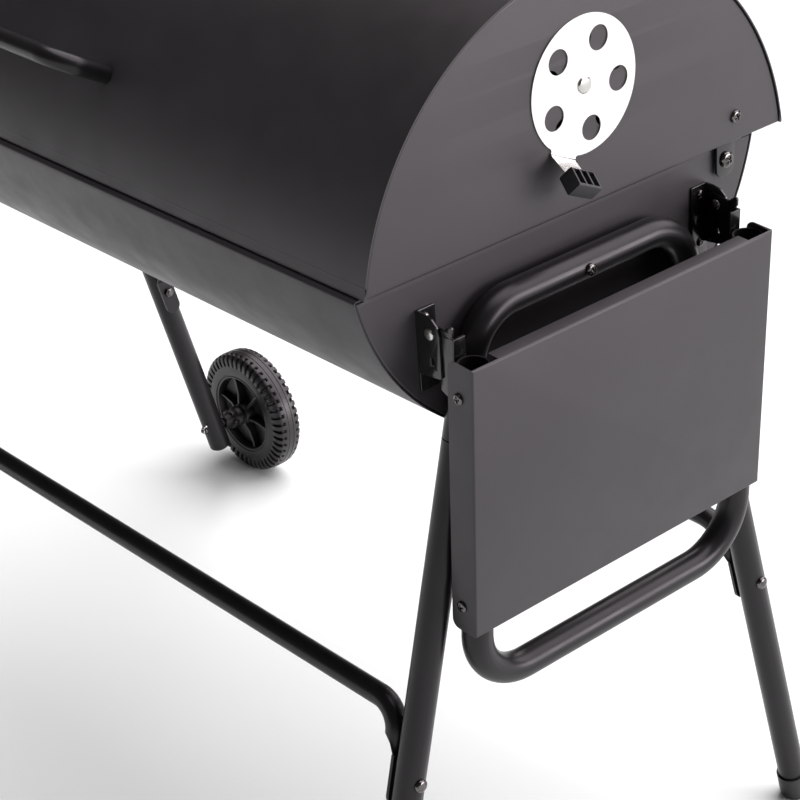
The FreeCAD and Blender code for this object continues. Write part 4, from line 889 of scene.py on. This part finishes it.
# ------------------------------------------------------------------------ legs and braces
SLOPE = math.tan(math.radians(14.1))
LEG_X = 12.8
LEG_SPREAD = 86.5


def leg_spot(end, sign, drop):
    x = LEG_X if end == "right" else -LENGTH - LEG_X
    return spot(x, sign * (LEG_SPREAD + SLOPE * drop), -drop)


def leg_ends():
    """Moulded caps on the standing legs, and rounded plugs in the legs with wheels."""
    ground = AXIS_Z / MM
    for side, sign in (("front", -1), ("rear", 1)):
        down = Vector((0, sign * SLOPE, -1)).normalized()
        cap = lathe([(12.9, 0), (14.2, 0), (14.6, 0.5), (14.6, 24), (14.2, 25.5), (13.4, 28),
                     (12, 29.2), (0, 29.2)],
                    axes(leg_spot("right", sign, ground - 29.8), down))
        geometry = cap.verts[:] + cap.edges[:] + cap.faces[:]
        cut = bmesh.ops.bisect_plane(cap, geom=geometry, plane_co=(0, 0, 0.15 * MM),
                                     plane_no=(0, 0, -1), clear_outer=True)
        edges = [item for item in cut["geom_cut"] if isinstance(item, bmesh.types.BMEdge)]
        if edges:
            bmesh.ops.contextual_create(cap, geom=edges)
        finish_piece("cap_" + side, cap, "foot_cap_" + side)
        plug = lathe([(0, -12), (11, -12), (11, 0), (12.6, 0.1), (12.7, 0.8), (11.6, 1.9),
                      (9, 2.7), (5, 3.2), (0, 3.4)],
                     axes(leg_spot("left", sign, ground - 50 + 0.1), down))
        finish_piece("plug_" + side, plug, "leg_plug_" + side)


def braces():
    """Bolt heads outside the legs and nuts inside the braces' flattened ends."""
    bolts, nuts, hoops = bmesh.new(), bmesh.new(), bmesh.new()
    drop = 472.0
    for end in ("right", "left"):
        point, outward = end_side(end)
        for sign in (-1, 1):
            y = sign * (LEG_SPREAD + SLOPE * drop)
            join(bolts, dome(6, 3.4, axes(point(25.6, y, -drop), outward), 0.7),
                 lathe([(0, 0), (3, 0), (3, 34), (0, 34)], axes(point(-8.4, y, -drop), outward)))
            join(nuts, hex_nut(9.4, 3.2, axes(point(-3.4, y, -drop), -outward), 1.2))
        join(hoops, pan_head(5.4, 2.9, axes(point(25.6, 0, -88.6), outward)),
             lathe([(0, 0), (3, 0), (3, 33), (0, 33)], axes(point(-7.4, 0, -88.6), outward)),
             hex_nut(9, 4, axes(point(-1.3, 0, -88.6), -outward)))
    finish_piece("brace_bolts", bolts, "stretcher_bolts")
    finish_piece("brace_nuts", nuts, "stretcher_nuts")
    finish_piece("hoop_screw_heads", hoops, "hoop_screws")


# ---------------------------------------------------------------------------------- shelf
PIVOT = (15.4, -88.2)
LEAN = math.radians(2.86)
SHELF_HALF = 163.8
SHELF_TOP = -8.2
SHELF_LOW = -246.2
SHELF_FACE = 52.7


def shelf_matrix():
    """The shelf's own directions: X out of its face, Z up along it, from the pivot line."""
    return Matrix.Translation(spot(PIVOT[0], 0, PIVOT[1])) @ Matrix.Rotation(LEAN, 4, "Y")


def shelf_point(u, y, w):
    return shelf_matrix() @ Vector((u * MM, y * MM, w * MM))


def shelf_tray():
    """Pressed tray: flat face, deep side flanges, shallow ones along the top and bottom."""
    depth, lip, corner = 27.0, 13.0, 7.0
    clear = SHELF_HALF - depth - 0.3
    outline = [(-SHELF_HALF, SHELF_TOP), (-SHELF_HALF, SHELF_LOW), (-clear, SHELF_LOW),
               (clear, SHELF_LOW), (SHELF_HALF, SHELF_LOW), (SHELF_HALF, SHELF_TOP),
               (clear, SHELF_TOP), (-clear, SHELF_TOP)]
    turn = [math.pi / 2 * k / 5 for k in range(6)]
    ends = [(corner * (1 - math.cos(angle)), depth - corner + corner * math.sin(angle))
            for angle in turn]

    def flange(a, b):
        length = abs(a[1] - b[1])
        if a[0] == b[0]:
            near = [(run / length, back) for run, back in ends]
            return near + [(1 - share, back) for share, back in reversed(near)]
        return [(0, lip), (1, lip)] if abs(a[0] - b[0]) > 100 else []

    bm = pressed_panel(outline, [], lambda u, v, back: shelf_point(SHELF_FACE - back, u, v),
                       2.0, flange, SHEET)
    finish_piece("shelf_tray", bm, "shelf_panel")
    screws = bmesh.new()
    for sign in (-1, 1):
        for drop in (37, 223):
            outward = shelf_matrix().to_3x3() @ Vector((0, sign, 0))
            base = shelf_point(SHELF_FACE - 15.3, sign * (SHELF_HALF + 0.05), -drop)
            join(screws, pan_head(4.8, 2.4, axes(base, outward), 0.2),
                 lathe([(0, -6), (2.4, -6), (2.4, 0.1), (0, 0.1)], axes(base, outward)))
    finish_piece("shelf_screw_heads", screws, "shelf_screws")


def xz_plate(outline, holes, thickness, origin, turn, y_from, bevel=0.35):
    """A plate standing in an XZ plane, between y_from and y_from + thickness."""
    stand = Matrix(((1, 0, 0, 0), (0, 0, -1, 0), (0, 1, 0, 0), (0, 0, 0, 1)))
    shift = Matrix.Translation((0, (y_from + thickness / 2) * MM, 0))
    return plate(outline, holes, thickness, origin @ shift @ turn @ stand, bevel)


def brackets():
    """The angle brackets on the end panel and the plates that turn on their rivets."""
    screws, rivets = bmesh.new(), bmesh.new()
    plane, sheet, width = 156.0, 2.0, 15.0
    ear = [(0.1, -37), (0.1, 14.5), (10, 14.3), (18, 12.6), (23.5, 8), (25.9, 1),
           (25.9, -34.5), (4, -37.5)]
    slot_hole = [(15.2, -19.5), (18.2, -19.5), (18.8, -26.5), (15.8, -26.5)]
    moving = [(-8, 8), (-3, 9), (13, 7.5), (18.4, 12.4), (22.1, 12.8), (22.1, 6), (20.2, 3.6),
              (24.4, 3.6), (24.4, -14.8), (26.4, -18), (26.4, -46.8), (15.6, -46.8),
              (9.4, -44.2), (9.7, -34.5), (3, -20), (-7, -9), (-11, -2), (-11, 4)]
    base = Matrix.Translation(spot(0, 0, PIVOT[1]))
    for side, sign in (("front", -1), ("rear", 1)):
        y_ear = plane if sign > 0 else -plane - sheet
        angle_piece = xz_plate(rounded(ear, 2.2), [rounded(slot_hole, 0.8)], sheet, base,
                               Matrix(), y_ear, 0.4)
        flange = [(-width - sheet + 0.4, 14.5), (-width - sheet + 0.4, -53), (1.6, -53),
                  (1.6, 14.5)]
        flange = [(sign * (plane + v), w) for v, w in flange]
        if sign < 0:
            flange.reverse()
        turn = Matrix(((0, 0, 1, 0), (1, 0, 0, 0), (0, 1, 0, 0), (0, 0, 0, 1)))
        place = Matrix.Translation(spot(0.1 + sheet / 2, 0, PIVOT[1])) @ turn
        join(angle_piece, plate(rounded(flange, 1.6), [], sheet, place, 0.4))
        finish_piece("bracket_" + side, angle_piece, "shelf_bracket_" + side)

        y_plate = plane - 0.15 - sheet if sign > 0 else -plane + 0.15
        tab = rounded([(22.4, 3.6), (22.4, -14.8), (24.4, -14.8), (24.4, 3.6)], 0.3)
        y_tab = plane - 0.15 - 11.5 if sign > 0 else -plane + 0.15
        lean = shelf_matrix()
        moving_piece = xz_plate(rounded(moving, 1.6), [], sheet, lean, Matrix(), y_plate, 0.4)
        join(moving_piece, xz_plate(tab, [], 11.5, lean, Matrix(), y_tab, 0.3))
        finish_piece("hinge_" + side, moving_piece, "hinge_plate_" + side)
        for rise in (6.5, -36):
            seat = spot(sheet + 0.15, sign * (plane - 6.4), PIVOT[1] + rise)
            join(screws, pan_head(3.9, 2.1, axes(seat, (1, 0, 0)), 0.6 + rise))
        out = Vector((0, sign, 0))
        head = spot(PIVOT[0], sign * (plane + sheet + 0.05), PIVOT[1])
        tail = spot(PIVOT[0], sign * (plane - 0.15 - sheet - 0.1), PIVOT[1])
        shank = spot(PIVOT[0], sign * (plane - 3.2), PIVOT[1])
        join(rivets, dome(4.6, 1.8, axes(head, out)), dome(4.2, 1.3, axes(tail, -out)),
             lathe([(0, 0), (3, 0), (3, 5.9), (0, 5.9)], axes(shank, out)))
    finish_piece("bracket_screw_heads", screws, "bracket_screws")
    finish_piece("pivot_rivets", rivets, "shelf_pivots")


# ------------------------------------------------------------------------ floor and light
def floor():
    """A plain pale floor."""
    bm = bmesh.new()
    bmesh.ops.create_grid(bm, x_segments=1, y_segments=1, size=12.0)
    mesh = bpy.data.meshes.new("floor")
    bm.to_mesh(mesh)
    bm.free()
    obj = bpy.data.objects.new("floor", mesh)
    bpy.context.scene.collection.objects.link(obj)
    mat, tree, principled, coords = shader("floor_paint")
    tree.links.new(shade(tree, noise(tree, coords, 0.8), (0.91, 0.965, 0.94), (0.93, 0.985, 0.96)),
                   principled.inputs["Base Color"])
    principled.inputs["Roughness"].default_value = 0.7
    obj.data.materials.append(mat)


def sun(name, direction, strength, spread_angle):
    """Broad soft light from far away, coming from a direction."""
    data = bpy.data.lights.new(name, "SUN")
    data.energy = strength
    data.color = (1.0, 0.94, 0.97)
    data.angle = math.radians(spread_angle)
    obj = bpy.data.objects.new(name, data)
    bpy.context.scene.collection.objects.link(obj)
    obj.rotation_mode = "QUATERNION"
    obj.rotation_quaternion = Vector(direction).to_track_quat("Z", "Y")


def studio():
    """A dim grey room, a broad light above and behind, and a level one from the right."""
    world = bpy.data.worlds.new("studio")
    world.use_nodes = True
    world.node_tree.nodes["Background"].inputs["Color"].default_value = (1, 1, 1, 1)
    world.node_tree.nodes["Background"].inputs["Strength"].default_value = 0.1
    bpy.context.scene.world = world
    sun("overhead", (0.1, 0.6, 0.85), 4.5, 80)
    sun("key", (1.0, 0.65, 0.0), 4.0, 40)
    bpy.context.scene.view_settings.view_transform = "Standard"


camera()
paint_cad_nodes()
bowl_sheet()
lid_sheet()
for end_name in ("right", "left"):
    bowl_panel(end_name)
    lid_panel(end_name)
straps()
damper_plate()
damper_knob()
for side_name, side_sign in (("front", -1), ("rear", 1)):
    wheel(side_name, side_sign)
axle_pieces()
leg_ends()
braces()
shelf_tray()
brackets()
floor()
studio()
